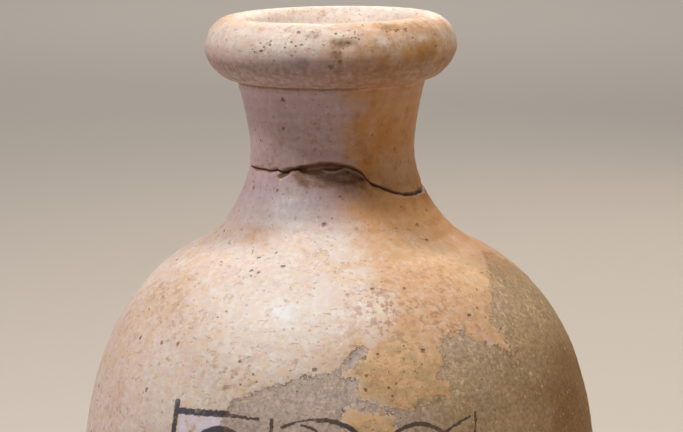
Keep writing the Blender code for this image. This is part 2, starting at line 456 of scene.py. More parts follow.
@dataclass
class Joint:
    """The mended break: its line round the neck, its gap, and how the piece above it sits."""

    height: float = 0.2910
    reach: float = 0.0280
    line: tuple = (
        (-90, 0.0025), (-60, 0.0027), (-49, 0.0031), (-42, 0.0035), (-37, 0.0028), (-31, 0.0043),
        (-23, 0.0055), (-16, 0.0063), (-9, 0.0067), (-2, 0.0071), (4, 0.0067), (9, 0.0059),
        (13, 0.0055), (17, 0.0043), (20, 0.0031), (22.5, 0.0007), (25, -0.0010), (30, -0.0030),
        (35, -0.0047), (45, -0.0070), (52, -0.0084), (63, -0.0090), (78, -0.0091), (95, -0.0084),
        (112, -0.0050), (130, 0.0010), (150, 0.0045), (175, 0.0020), (200, -0.0035), (225, -0.0050),
        (250, 0.0), (270, 0.0025),
    )
    jag: float = 0.00035
    jag_size: float = 0.0030
    jag_radius: float = 0.04
    neck_shift: float = -0.0031
    shoulder_shift: float = -0.0026
    shift_start: float = 0.2153
    inner_blend: float = 0.004
    lean: float = 0.9
    gap_depth: float = 0.0010
    gap_half_width: float = 0.00085
    open_half_width: float = 0.00120
    open_middle: float = -10.0
    open_reach: float = 34.0
    tight_middle: float = 46.0
    tight_reach: float = 30.0
    tight_share: float = 0.40

    def rise(self, azimuth: np.ndarray) -> np.ndarray:
        """Rise of the joint line: its set points joined by straight lines, with a fine jag.

        Args:
            azimuth: where it is read.

        Returns:
            The rise above the line's mean height.
        """
        turned = (azimuth + 90.0) % 360.0 - 90.0
        angles, rises = np.array(self.line).T
        around = np.radians(azimuth)
        ring = np.stack([np.sin(around), -np.cos(around), np.zeros_like(around)], axis=-1)
        jagged = layered_noise(ring * self.jag_radius, self.jag_size, 11, 2)
        return np.interp(turned, angles, rises) + self.jag * jagged

    def opening(self, azimuth: np.ndarray) -> np.ndarray:
        """Half width of the gap: wider at the front, where its edges have crumbled, tight on the right.

        Args:
            azimuth: where it is read.

        Returns:
            The half width.
        """
        wider = self.open_half_width - self.gap_half_width
        half = self.gap_half_width + wider * bump_at(azimuth, self.open_middle, self.open_reach)
        return half * (1.0 - self.tight_share * bump_at(azimuth, self.tight_middle, self.tight_reach))


@dataclass(frozen=True)
class Dent:
    """A scooped loss: middle and half sizes by azimuth and by height, depth, and turn in its plane."""

    azimuth: float
    height: float
    half_turn: float
    half_height: float
    depth: float
    tilt: float = 0.0
    soil: float = 0.0


@dataclass
class Relief:
    """Everything that moves the surface off the plain turned form."""

    wobble: float = 0.00030
    wobble_size: float = 0.075
    lumps: float = 0.00022
    lump_size: float = 0.022
    rings: float = 0.00006
    ring_pitch: float = 0.0052
    inner_rings: float = 0.0004
    inner_pitch: float = 0.011
    coat: float = 0.00030
    groove_depth: float = 0.0007
    groove_half_width: float = 0.0007
    groove_rise: float = 0.0003
    groove_ends: tuple = (-64.0, 14.0)
    dent_uneven: float = 0.30
    dent_uneven_size: float = 0.006
    dent_soft: float = 0.45
    dents: tuple = (
        Dent(-36.5, 0.2925, 6.5, 0.0017, 0.0009, -24.0, 0.75),
        Dent(33.0, 0.3568, 8.0, 0.0024, 0.0005, 0.0, 0.0),
        Dent(20.0, 0.3585, 5.0, 0.0016, 0.0004, 0.0, 0.0),
        Dent(-12.0, 0.3440, 3.0, 0.0016, 0.0003, 0.0, 0.2),
        Dent(6.0, 0.3520, 6.0, 0.0024, 0.0005, 0.0, 0.1),
        Dent(58.0, 0.3380, 7.0, 0.0030, 0.0005, 10.0, 0.1),
        Dent(150.0, 0.3560, 11.0, 0.0034, 0.0012, 0.0, 0.1),
        Dent(-118.0, 0.3580, 6.0, 0.0020, 0.0008, 0.0, 0.1),
        Dent(-62.0, 0.0035, 9.0, 0.0040, 0.0012, 0.0, 0.2),
        Dent(96.0, 0.0030, 14.0, 0.0050, 0.0016, 0.0, 0.2),
        Dent(205.0, 0.1320, 5.0, 0.0070, 0.0009, 15.0, 0.2),
    )
    flake: tuple = (
        (-28, 0.2962), (-24, 0.2940), (-18, 0.2917), (-11, 0.2902), (-4, 0.2893), (2.5, 0.2891),
        (9, 0.2895), (15, 0.2899), (21, 0.2905), (21, 0.2922), (18, 0.2938), (14, 0.2952),
        (9, 0.2964), (4, 0.2972), (-4, 0.2974), (-11, 0.2972), (-20, 0.2966),
    )
    ledge: tuple = ((-9.0, 0.2960), (-5.0, 0.2950), (1.0, 0.2948), (5.0, 0.2956), (8.5, 0.2968))
    ledge_half_width: float = 0.00065
    ledge_share: float = 0.8
    flake_depth: float = 0.0022
    flake_bank: float = 0.0020
    flake_fray: float = 0.0007
    flake_fray_size: float = 0.0045
    flake_soil: float = 0.11
    joint_soil: float = 0.62
    joint_soil_fade: tuple = (0.0060, 0.0010)
    # The skirt below the hollow: painted shade where the rim's shadow falls.
    skirt: float = 0.0075
    skirt_shade: float = 0.30
    skirt_fray: float = 0.0022
    skirt_fray_size: float = 0.0050
    lip_loss: float = 0.0006
    lip_reach: tuple = (0.0024, 0.0006)
    lip_crumb: float = 0.0035
    coat_edge: float = 0.0008
    room_beside: float = 0.0015
    room_under: tuple = (0.0010, 0.0060)
    plain_foot: float = 0.004


@dataclass(frozen=True)
class Patch:
    """An area that has lost its coat, by its outline of azimuths and heights, and its raggedness."""

    outline: tuple
    ragged: float


@dataclass
class Losses:
    """Where the coat is lost, and how far from each edge every point lies."""

    plane_radius: float = 0.105
    patches: tuple = (
        Patch(
            (
                (-26.5, 0.2034), (-24.5, 0.2070), (-21.5, 0.2102), (-18.5, 0.2134), (-15, 0.2150),
                (-11.5, 0.2164), (-10, 0.2180), (-7.5, 0.2192), (-1, 0.2200), (2, 0.2189),
                (4.5, 0.2182), (4.2, 0.2125), (5.0, 0.2110), (8, 0.2082), (11.5, 0.2067),
                (15, 0.2060), (16, 0.2042), (13.2, 0.2028), (10, 0.2046), (5.5, 0.2062), (2, 0.2076),
                (0.3, 0.2065), (0.5, 0.2026), (1, 0.1985), (4, 0.188), (1, 0.176), (-7, 0.166),
                (-14, 0.150), (-20, 0.148), (-25, 0.160), (-28, 0.176), (-27.5, 0.188),
                (-26, 0.196),
            ),
            0.0014,
        ),
        Patch(
            (
                (-1, 0.2216), (1, 0.2242), (2.5, 0.2267), (4, 0.2292), (6, 0.2304), (8, 0.2304),
                (7, 0.2286), (5, 0.2248), (3.5, 0.2222), (1.5, 0.2216),
            ),
            0.0008,
        ),
        Patch(
            (
                (48.5, 0.2202), (45.5, 0.2222), (41.5, 0.2255), (38.5, 0.2267), (37, 0.2292),
                (34, 0.2322), (31, 0.2322), (27.5, 0.2310), (25.5, 0.2274), (26.5, 0.2242),
                (25, 0.2209), (23.5, 0.2175), (26, 0.2161), (27, 0.2132), (25.5, 0.2095),
                (22.5, 0.2088), (19, 0.2080), (16.5, 0.2057), (13.5, 0.2034), (12.5, 0.2010),
                (12.5, 0.1977), (10, 0.190), (10, 0.180), (12, 0.158), (20, 0.132), (32, 0.112),
                (48, 0.094), (70, 0.090), (75, 0.150), (72, 0.200),
            ),
            0.0024,
        ),
        Patch(
            (
                (77, 0.2554), (68.5, 0.2526), (60, 0.2478), (52.5, 0.2425), (47.5, 0.2384),
                (45.5, 0.2339), (47, 0.2298), (48, 0.2235), (48.5, 0.2202), (52, 0.205), (56, 0.150),
                (64, 0.112), (72, 0.098), (79, 0.104), (82, 0.121), (91, 0.124), (95, 0.141),
                (106, 0.146), (104, 0.164), (113, 0.171), (121, 0.190), (113, 0.201), (117, 0.216),
                (105, 0.221), (101, 0.238), (91, 0.240), (86, 0.2525),
            ),
            0.0034,
        ),
        Patch(
            (
                (168, 0.158), (161, 0.170), (168, 0.178), (165, 0.190), (176, 0.198), (184, 0.192),
                (193, 0.201), (203, 0.196), (202, 0.185), (211, 0.176), (203, 0.168), (198, 0.156),
                (188, 0.163), (179, 0.152),
            ),
            0.0050,
        ),
        Patch(
            (
                (-68, 0.058), (-73, 0.072), (-65, 0.082), (-58, 0.097), (-49, 0.086), (-38, 0.092),
                (-27, 0.076), (-19, 0.066), (-25, 0.052), (-34, 0.036), (-45, 0.047), (-56, 0.040),
            ),
            0.0050,
        ),
        Patch(
            (
                (140, 0.264), (134, 0.271), (143, 0.275), (147, 0.283), (156, 0.277), (167, 0.279),
                (166, 0.269), (157, 0.266), (151, 0.259),
            ),
            0.0045,
        ),
    )
    foot_wear: float = 0.0100
    foot_ragged: float = 0.0030

    def plane(self, azimuth: np.ndarray, height: np.ndarray, outline: Outline) -> np.ndarray:
        """Unroll places of the outer face into a plane: azimuth times a radius, and length up the wall.

        Args:
            azimuth: azimuth of each place.
            height: height of each place.
            outline: the jar's outline.

        Returns:
            The places in the plane.
        """
        line = outline.outer_line()
        upright = np.interp(height, line[:, 1], run_length(line))
        return np.stack([np.radians(azimuth) * self.plane_radius, upright], axis=-1)

    def inside(self, points: np.ndarray, corners: np.ndarray) -> np.ndarray:
        """Signed distance to a closed outline, above 0 inside it.

        The distance is to the nearest edge. The sign comes from how many edges a level ray crosses.

        Args:
            points: places in the plane, one a row.
            corners: the outline's corners in the plane.

        Returns:
            One distance for each point.
        """
        nearest = np.full(len(points), np.inf)
        crossed = np.zeros(len(points), dtype=bool)
        for start, end in zip(corners, np.roll(corners, -1, axis=0)):
            edge = end - start
            offset = points - start
            share = np.clip(offset @ edge / (edge @ edge), 0.0, 1.0)
            nearest = np.minimum(nearest, np.hypot(*(offset - share[:, None] * edge).T))
            spans = (start[1] > points[:, 1]) != (end[1] > points[:, 1])
            level = start[0] + (points[:, 1] - start[1]) * edge[0] / (edge[1] or 1e-12)
            crossed ^= spans & (points[:, 0] < level)
        return np.where(crossed, nearest, -nearest)

    def measure(self, azimuth: np.ndarray, height: np.ndarray, outline: Outline) -> tuple:
        """Distance into the nearest patch, above 0 where the coat is lost, and its raggedness.

        Args:
            azimuth: azimuth of each point.
            height: height of each point.
            outline: the jar's outline.

        Returns:
            Two arrays of the points' shape.
        """
        flat_azimuth = azimuth.ravel()
        flat_height = height.ravel()
        gap = self.foot_wear - flat_height
        ragged = np.full(gap.shape, self.foot_ragged)
        for patch in self.patches:
            angles, heights = np.array(patch.outline).T
            middle = angles.mean()
            turned = (flat_azimuth - middle + 180.0) % 360.0 - 180.0 + middle
            points = self.plane(turned, flat_height, outline)
            distance = self.inside(points, self.plane(angles, heights, outline))
            nearer = distance > gap
            gap = np.where(nearer, distance, gap)
            ragged = np.where(nearer, patch.ragged, ragged)
        return gap.reshape(azimuth.shape), ragged.reshape(azimuth.shape)


@dataclass(frozen=True)
class Blot:
    """A stain, worn spot, painted highlight or painted shade: its middle, half sizes by azimuth and height,
    strength and tilt.

    Its edge fades from the share "soft" of the way out; below 0 it is soft all over.
    """

    azimuth: float
    height: float
    half_turn: float
    half_height: float
    strength: float = 1.0
    soft: float = 0.35
    tilt: float = 0.0


@dataclass
class Weather:
    """The stains, chips and pits that lie on the coat, and some painted highlight and painted shade, set
    out one by one.

    A pair of azimuths, heights or depths gives where a broad tint starts and where it is full.
    """

    uneven: float = 0.28
    uneven_size: float = 0.0075
    mottle_size: float = 0.014
    wander: float = 8.0
    wander_size: float = 0.009
    right_side: tuple = (-6.0, 27.0)
    right_end: tuple = (160.0, 110.0)
    left_side: tuple = (34.0, 6.0)
    left_end: tuple = (-175.0, -130.0)
    low_rim: tuple = (0.352, 0.340)
    neck: tuple = (0.279, 0.292)
    stain_foot: tuple = (0.262, 0.282)
    cool_foot: tuple = (0.262, 0.286)
    clean_turn: tuple = (52.0, 34.0)
    clean_height: tuple = (0.2920, 0.0150)
    brown_near: tuple = (4.0, 30.0)
    brown_far: tuple = (34.0, 70.0)
    brown_end: tuple = (170.0, 120.0)
    brown_height: tuple = (0.245, 0.195)
    shoulder_top: tuple = (0.286, 0.272)
    shoulder_foot: tuple = (0.195, 0.215)
    blush_side: tuple = (0.0, 22.0)
    blush_end: tuple = (130.0, 90.0)
    # Painted shade on the rim's underside: where it starts and where it is full.
    rim_underside_shade: tuple = (0.3500, 0.3400)
    inner_depth: tuple = (0.014, 0.070)
    lip_depth: tuple = (0.012, 0.002)
    lip_turn: tuple = (72.0, 40.0)
    seam_side: tuple = (-62.0, -34.0)
    seam_end: tuple = (175.0, 120.0)
    halo_size: float = 0.005
    halo_wide: tuple = (88.0, 22.0)
    halo_soil: float = 0.45
    # Painted shade in the thin groove under the rim.
    groove_shade: float = 0.62
    blots: dict = field(default_factory=lambda: {
        Layer.CHIPPED: (
            Blot(-22.0, 0.3512, 15.0, 0.0060, 0.9),
            Blot(-46.0, 0.3530, 12.0, 0.0050, 0.4),
            Blot(32.5, 0.3572, 9.0, 0.0028, 0.45),
            Blot(-37.0, 0.2903, 6.0, 0.0010, 0.5, tilt=-24.0),
            Blot(8.0, 0.2968, 2.4, 0.0010, 1.0, tilt=10.0),
            Blot(0.0, 0.2950, 9.0, 0.0008, 0.9),
            Blot(41.0, 0.2832, 16.0, 0.0009, 0.9, tilt=15.0),
            Blot(62.0, 0.2806, 10.0, 0.0007, 0.4, tilt=2.0),
            Blot(71.0, 0.2350, 17.0, 0.0130, 0.70, 0.0),
            Blot(34.0, 0.2160, 12.0, 0.0140, 0.5, 0.0),
            Blot(118.0, 0.3550, 20.0, 0.0050, 0.7),
            Blot(205.0, 0.3520, 16.0, 0.0060, 0.6),
        ),
        Layer.PITTED: (
            Blot(-22.0, 0.3500, 18.0, 0.0080, 1.0),
            Blot(8.0, 0.3520, 12.0, 0.0060, 0.9),
            Blot(33.0, 0.3560, 14.0, 0.0050, 0.8),
            Blot(13.0, 0.2210, 11.0, 0.0160, 0.3),
            Blot(-18.0, 0.2170, 18.0, 0.0060, 0.2),
            Blot(170.0, 0.2000, 40.0, 0.0500, 0.4),
        ),
        Layer.SOIL_AND_SHADE: (
            Blot(6.0, 0.3524, 10.0, 0.0036, 0.30),
            Blot(4.0, 0.3480, 6.0, 0.0034, 0.30, 0.0),
            Blot(-8.0, 0.3560, 6.0, 0.0024, 0.24),
            # The next two: painted shade on the lower half of the rim.
            Blot(50.0, 0.3455, 26.0, 0.0060, 0.20, 0.0),
            Blot(10.0, 0.3400, 40.0, 0.0050, 0.20, 0.0),
            Blot(31.0, 0.3568, 9.0, 0.0018, 0.16, 0.0),
            Blot(50.0, 0.3580, 56.0, 0.0090, 0.29, -0.3),
            Blot(16.0, 0.3130, 5.0, 0.0170, 0.20, -0.2),
            Blot(46.0, 0.3157, 16.0, 0.0044, 0.22, -0.2),
            Blot(-52.0, 0.2990, 50.0, 0.0090, 0.21, 0.1),
            Blot(-34.0, 0.2865, 20.0, 0.0080, 0.13, -0.2),
            Blot(10.5, 0.2946, 2.8, 0.0010, 0.95),
            # Painted shade: a thin dark line along the front lip's crest.
            Blot(-42.0, 0.3602, 24.0, 0.0009, 0.24, -0.2),
            Blot(12.0, 0.2120, 12.0, 0.0070, 0.10, -0.3),
            Blot(-24.0, 0.2846, 14.0, 0.0040, 0.10),
            # The last two: painted shade in the rim's shadow below the hollow.
            Blot(18.0, 0.2836, 20.0, 0.0050, 0.12),
            Blot(30.0, 0.2785, 24.0, 0.0085, 0.20, -0.3),
        ),
        Layer.PALE_AND_HIGHLIGHT: (
            # The first two: a painted highlight on the front of the shoulder.
            Blot(-16.0, 0.2420, 13.0, 0.0120, 1.0, -0.3),
            Blot(-15.0, 0.2450, 26.0, 0.0240, 0.60, -0.6),
            Blot(-28.0, 0.2810, 26.0, 0.0130, 1.0, -0.2),
            Blot(-24.0, 0.3500, 16.0, 0.0050, 0.30, -0.3),
            Blot(165.0, 0.2450, 30.0, 0.0200, 0.50),
        ),
        Layer.STAIN: (
            Blot(46.0, 0.3450, 44.0, 0.0120, 1.0, 0.0),
            Blot(13.0, 0.3475, 22.0, 0.0095, 0.70, -0.1),
            Blot(12.0, 0.3370, 34.0, 0.0100, 0.75, -0.3),
            Blot(26.0, 0.3290, 38.0, 0.0060, 1.0, 0.2),
            Blot(33.0, 0.3572, 13.0, 0.0026, 0.65, -0.2),
            Blot(58.0, 0.3575, 46.0, 0.0090, 0.66, -0.2),
            Blot(10.0, 0.2850, 26.0, 0.0100, 0.55, -0.2),
            Blot(40.0, 0.2745, 36.0, 0.0130, 0.38, -0.2),
            Blot(66.0, 0.2680, 26.0, 0.0150, 0.75, -0.1),
            Blot(38.0, 0.2560, 12.0, 0.0060, 0.40, -0.3),
            Blot(82.0, 0.2600, 38.0, 0.0200, 0.80, -0.1),
            Blot(-40.0, 0.2660, 28.0, 0.0075, 0.42, -0.2),
            Blot(200.0, 0.3000, 30.0, 0.0200, 0.6),
            Blot(230.0, 0.2200, 26.0, 0.0360, 0.4, tilt=10.0),
            Blot(-80.0, 0.0900, 30.0, 0.0300, 0.4),
            Blot(-62.0, 0.3450, 34.0, 0.0110, 0.20, -0.2),
        ),
        Layer.BLUSH: (
            Blot(-82.0, 0.3600, 42.0, 0.0076, 0.85, -0.2),
            Blot(66.0, 0.2480, 40.0, 0.0420, 1.0, 0.5),
            Blot(16.0, 0.2250, 15.0, 0.0160, 0.9, 0.5),
            Blot(42.0, 0.3585, 52.0, 0.0090, 0.95, 0.1),
            Blot(-20.0, 0.3500, 40.0, 0.0090, 0.22, -0.2),
            Blot(-66.0, 0.2250, 42.0, 0.0700, 0.55, -0.5),
            Blot(2.0, 0.2280, 12.0, 0.0120, 0.35),
            Blot(140.0, 0.2500, 40.0, 0.0300, 0.5),
        ),
        Layer.COOL: (
            Blot(-14.0, 0.3440, 30.0, 0.0058, 0.9),
        ),
        Layer.OCHRE: (
            Blot(15.0, 0.2160, 17.0, 0.0190, 1.0, 0.5),
            Blot(7.0, 0.2000, 14.0, 0.0110, 1.0, 0.5),
            Blot(52.0, 0.2520, 18.0, 0.0240, 0.75, 0.0),
            Blot(32.0, 0.2620, 10.0, 0.0050, 0.60, 0.0),
            Blot(-60.0, 0.2450, 11.0, 0.0120, 0.30, -0.3, tilt=20.0),
            Blot(186.0, 0.2120, 30.0, 0.0130, 0.7),
            Blot(-46.0, 0.1040, 26.0, 0.0110, 0.7),
        ),
        Layer.SPOTTED: (
            Blot(12.0, 0.2430, 13.0, 0.0150, 1.0, 0.2),
            Blot(24.0, 0.2400, 14.0, 0.0120, 0.9, 0.1),
            Blot(30.0, 0.2560, 14.0, 0.0060, 0.6, -0.2),
            Blot(28.0, 0.2330, 22.0, 0.0060, 0.9, 0.0, tilt=-6.0),
            Blot(-60.0, 0.2400, 18.0, 0.0180, 0.50, -0.3),
            Blot(-10.0, 0.2280, 16.0, 0.0100, 0.12, -0.3),
            Blot(30.0, 0.3500, 36.0, 0.0100, 0.45, -0.2),
            Blot(14.0, 0.2180, 16.0, 0.0180, 0.45),
            Blot(38.0, 0.2500, 26.0, 0.0220, 0.65, -0.2),
            Blot(-5.0, 0.3120, 60.0, 0.0240, 0.55, -0.2),
            Blot(160.0, 0.2300, 50.0, 0.0300, 0.5),
        ),
    })


@dataclass
class Grid:
    """Places and base coordinates of the jar's points, with rows first and columns second."""

    azimuth: np.ndarray
    base: np.ndarray
    part: np.ndarray
    along: np.ndarray
    points: np.ndarray
    layers: dict = field(default_factory=dict)


@dataclass
class Jar:
    """The whole vessel: one closed surface, its layers for the material, and its finish."""

    outline: Outline = field(default_factory=Outline)
    spacing: Spacing = field(default_factory=Spacing)
    joint: Joint = field(default_factory=Joint)
    relief: Relief = field(default_factory=Relief)
    losses: Losses = field(default_factory=Losses)
    weather: Weather = field(default_factory=Weather)
    columns: int = 336
    crowding: float = 0.34

    def column_azimuths(self) -> np.ndarray:
        """Azimuths of the columns, closer at the front: a full turn less crowding times its sine."""
        turn = np.linspace(-np.pi, np.pi, self.columns, endpoint=False)
        return np.degrees(turn - self.crowding * np.sin(turn))

    def base_grid(self) -> Grid:
        """Lay out rows and columns on the plain turned form.

        Returns:
            The grid, with its points still at 0.
        """
        rows = self.spacing.rows(self.outline, self.joint.height)
        azimuth, _ = np.meshgrid(self.column_azimuths(), rows.place[:, 0])
        shape = azimuth.shape
        base = np.broadcast_to(rows.place[:, None, :], shape + (2,)).copy()
        part = np.broadcast_to(rows.part[:, None], shape)
        along = np.broadcast_to(rows.along[:, None], shape)
        return Grid(azimuth, base, part, along, np.zeros(shape + (3,)))

    def carried(self, grid: Grid) -> tuple:
        """Radius and height of each point once the neck's outer rows follow the joint line.

        A row within reach of the line rises with it by a share that falls to nothing at the reach,
        and its radius moves along the outline to the new height.

        Args:
            grid: the grid with its base coordinates.

        Returns:
            The radii and the heights.
        """
        radius = grid.base[..., 0].copy()
        height = grid.base[..., 1].copy()
        neck = np.concatenate([self.outline.shoulder(), self.outline.neck()[1:]])
        near = 1.0 - np.abs(height - self.joint.height) / self.joint.reach
        follows = (near > 0.0) & (grid.part == Part.OUTSIDE.value)
        moved = height + self.joint.rise(grid.azimuth) * np.clip(near, 0.0, 1.0)
        change = np.interp(moved, neck[:, 1], neck[:, 0]) - np.interp(height, neck[:, 1], neck[:, 0])
        return np.where(follows, radius + change, radius), np.where(follows, moved, height)

    def normals(self, radius: np.ndarray, height: np.ndarray) -> tuple:
        """Outward and upward shares of the surface's normal, from the slope between rows.

        Args:
            radius: radius of each point.
            height: height of each point.

        Returns:
            The two shares.
        """
        outward = np.gradient(height, axis=0)
        upward = -np.gradient(radius, axis=0)
        size = np.hypot(outward, upward) + 1e-12
        return outward / size, upward / size

    def place(self, radius: np.ndarray, height: np.ndarray, azimuth: np.ndarray) -> np.ndarray:
        """Points from radius, height and azimuth round the Z axis."""
        turn = np.radians(azimuth)
        return np.stack([radius * np.sin(turn), -radius * np.cos(turn), height], axis=-1)

    def above_joint(self, grid: Grid) -> np.ndarray:
        """Share of each point that belongs to the piece above the joint line."""
        half = self.joint.gap_half_width
        return smooth(grid.base[..., 1], self.joint.height - half, self.joint.height + half)

    def flake(self, grid: Grid, height: np.ndarray) -> tuple:
        """Depth share and soiling of the hollow that broke out just below the joint line.

        The share steps up over the bank inside the hollow's outline; the soil is darkest close under
        the joint, and a thin skirt of painted shade runs down below the hollow.

        Args:
            grid: the grid with its first places.
            height: height of each point on the plain form.

        Returns:
            The depth share, and the soil with its skirt of painted shade.
        """
        relief = self.relief
        angles, heights = np.array(relief.flake).T
        corners = self.losses.plane(angles, heights, self.outline)
        places = self.losses.plane(grid.azimuth.ravel(), height.ravel(), self.outline)
        distance = self.losses.inside(places, corners).reshape(height.shape)
        distance += relief.flake_fray * layered_noise(grid.points, relief.flake_fray_size, 31, 2)
        share = smooth(distance, -0.0002, relief.flake_bank)
        below = self.joint.height + self.joint.rise(grid.azimuth) - height
        near = smooth(below, *relief.joint_soil_fade)
        outside = grid.part == Part.OUTSIDE.value
        share = np.where(outside, share, 0.0)
        turns, levels = np.array(relief.ledge).T
        offset = np.abs(height - np.interp(grid.azimuth, turns, levels))
        first, last = turns[[0, -1]]
        ends = smooth(grid.azimuth, first, first + 3.0) * smooth(grid.azimuth, last + 1.5, last)
        ledge = smooth(offset, relief.ledge_half_width, 0.0001) * ends
        # The skirt: painted shade below the hollow.
        loose = distance + relief.skirt_fray * layered_noise(grid.points, relief.skirt_fray_size, 33, 3)
        skirt = relief.skirt_shade * smooth(loose, -relief.skirt, 0.0) * smooth(below, 0.0, 0.0010)
        soil = share * (relief.flake_soil + relief.joint_soil * near)
        soil = np.maximum(soil, np.where(outside, skirt, 0.0))
        return share * (1.0 - relief.ledge_share * ledge), soil * (1.0 - ledge)

    def gap(self, grid: Grid) -> np.ndarray:
        """Depth share of the open joint line, by the distance from it over the half width.

        Args:
            grid: the grid with its base coordinates.

        Returns:
            The share, 1 at the line.
        """
        offset = np.abs(grid.base[..., 1] - self.joint.height)
        half = self.joint.opening(grid.azimuth)
        share = smooth(offset / half, 1.0, 0.35)
        return np.where(grid.part == Part.OUTSIDE.value, share, 0.0)

    def oval(self, grid: Grid, spot: Dent | Blot, uneven: np.ndarray, soft: float) -> np.ndarray:
        """Share of each point inside an oval on the wall, with an uneven edge.

        Args:
            grid: the grid with its first places.
            spot: a dent or blot, with its middle, half sizes and tilt.
            uneven: what is added to the share of the way from the middle to the edge.
            soft: share of the way where the oval starts to fade.

        Returns:
            The share, 1 inside and 0 beyond the edge.
        """
        radius = np.maximum(grid.base[..., 0], 0.02)
        turned = (grid.azimuth - spot.azimuth + 180.0) % 360.0 - 180.0
        across = np.radians(turned) * radius
        upward = grid.points[..., 2] - spot.height
        tilt = math.radians(spot.tilt)
        half_width = np.radians(spot.half_turn) * radius
        along = (across * math.cos(tilt) - upward * math.sin(tilt)) / half_width
        cross = (across * math.sin(tilt) + upward * math.cos(tilt)) / spot.half_height
        share = smooth(np.hypot(along, cross) + uneven, 1.0, soft)
        return np.where(grid.part == Part.INSIDE.value, 0.0, share)

    def dented(self, grid: Grid) -> tuple:
        """Depth and soiling of the scooped losses, each an oval bowl with an uneven edge.

        Args:
            grid: the grid with its first places.

        Returns:
            The depth and the soil, each the greatest of all dents.
        """
        relief = self.relief
        depth = np.zeros(grid.azimuth.shape)
        soil = np.zeros(grid.azimuth.shape)
        uneven = relief.dent_uneven * layered_noise(grid.points, relief.dent_uneven_size, 41, 2)
        for dent in relief.dents:
            share = self.oval(grid, dent, uneven, relief.dent_soft)
            depth = np.maximum(depth, dent.depth * share)
            soil = np.maximum(soil, dent.soil * share)
        return depth, soil

    def groove(self, grid: Grid, height: np.ndarray) -> np.ndarray:
        """Share of the thin groove under the rim, which fades out at both ends.

        Args:
            grid: the grid with its azimuths.
            height: height of each point on the plain form.

        Returns:
            The share, 1 along the groove's middle.
        """
        offset = np.abs(height - self.outline.roll_bottom - self.relief.groove_rise)
        share = smooth(offset, self.relief.groove_half_width, 0.0)
        start, end = self.relief.groove_ends
        faded = smooth(grid.azimuth, end + 12.0, end - 4.0) * smooth(grid.azimuth, start - 60.0, start)
        return share * faded

    def room(self, radius: np.ndarray, height: np.ndarray) -> np.ndarray:
        """How far a point may move outwards, as a share: none where the jar is widest or highest.

        Args:
            radius: radius of each point.
            height: height of each point.

        Returns:
            The share.
        """
        widest = self.outline.body_radius
        beside = smooth(radius, widest, widest - self.relief.room_beside)
        under = smooth(self.outline.height - height, *self.relief.room_under)
        return beside * under

    def shape(self, grid: Grid) -> None:
        """Work out the layers and the finished places of all points.

        The radius and height of the carried rows are moved along the normal by the sum of the relief,
        then the piece above the joint leans and shifts off the axis, and the wall just below drifts.

        Args:
            grid: the grid, whose points and layers are filled in.
        """
        radius, height = self.carried(grid)
        grid.points = self.place(radius, height, grid.azimuth)
        outside = (grid.part == Part.OUTSIDE.value) | (grid.part == Part.RIM.value)
        inside = grid.part == Part.INSIDE.value
        out, up = self.normals(radius, height)
        relief = self.relief
        points = grid.points

        gap, ragged = self.losses.measure(grid.azimuth, height, self.outline)
        gap = np.where(outside, gap, np.where(inside, -1.0, 0.004))
        bare = smooth(gap, -relief.coat_edge, relief.coat_edge)
        flake, flake_soil = self.flake(grid, height)
        opening = self.gap(grid)
        dents, dent_soil = self.dented(grid)
        groove = self.groove(grid, height)

        move = relief.wobble * lattice_noise(points, relief.wobble_size, 3)
        move += relief.lumps * layered_noise(points, relief.lump_size, 5, 2)
        rings = np.sin(2.0 * np.pi * height / relief.ring_pitch + 2.0 * lattice_noise(points, 0.05, 7))
        inner = np.sin(2.0 * np.pi * grid.along / relief.inner_pitch)
        move += np.where(inside, relief.inner_rings * inner, relief.rings * rings)
        move = np.where(move > 0.0, move * self.room(radius, height), move)
        move -= np.where(outside, relief.coat * bare, 0.0)
        move -= relief.flake_depth * flake + dents + relief.groove_depth * groove
        move -= self.joint.gap_depth * opening
        lips = smooth(np.abs(grid.base[..., 1] - self.joint.height), *relief.lip_reach)
        crumbled = np.clip(0.5 + lattice_noise(points, relief.lip_crumb, 17), 0.0, 1.0)
        move -= np.where(grid.part == Part.OUTSIDE.value, relief.lip_loss * lips * crumbled, 0.0)
        flat = smooth(height, 0.0, relief.plain_foot)
        move = np.where(outside | inside, move * flat, 0.0)

        moved = self.place(radius + move * out, height + move * up, grid.azimuth)
        grid.layers = self.painted(grid, height, gap, ragged, bare)
        halo = self.halo(grid)
        marked = grid.layers[Layer.SOIL_AND_SHADE]
        weather = self.weather
        front = smooth(grid.azimuth, *weather.seam_side) * smooth(grid.azimuth, *weather.seam_end)
        seam = opening * (0.58 + 0.37 * front)
        # Painted shade along the groove under the rim.
        groove_shade = weather.groove_shade * groove
        # Soil in the joint, dents and halo, with painted shade in the groove, below the hollow and under
        # the rim.
        deep = np.maximum.reduce([seam, flake_soil, dent_soil, groove_shade, halo, marked])
        grid.layers[Layer.SOIL_AND_SHADE] = np.where(inside, 0.0, deep)
        grid.points = self.set_on_axis(moved, self.above_joint(grid), inside)

    def halo(self, grid: Grid) -> np.ndarray:
        """The brown band of soil that lies on both lips of the joint, broken up along its length.

        Args:
            grid: the grid with its first places.

        Returns:
            The soil.
        """
        offset = np.abs(grid.base[..., 1] - self.joint.height)
        weather = self.weather
        broken = 2.0 + 0.9 * lattice_noise(grid.points, weather.halo_size, 19)
        wider = 1.0 + 0.3 * bump_at(grid.azimuth, *weather.halo_wide)
        reach = self.joint.opening(grid.azimuth) * broken * wider
        share = smooth(offset, reach, 0.3 * reach)
        return np.where(grid.part == Part.OUTSIDE.value, weather.halo_soil * share, 0.0)

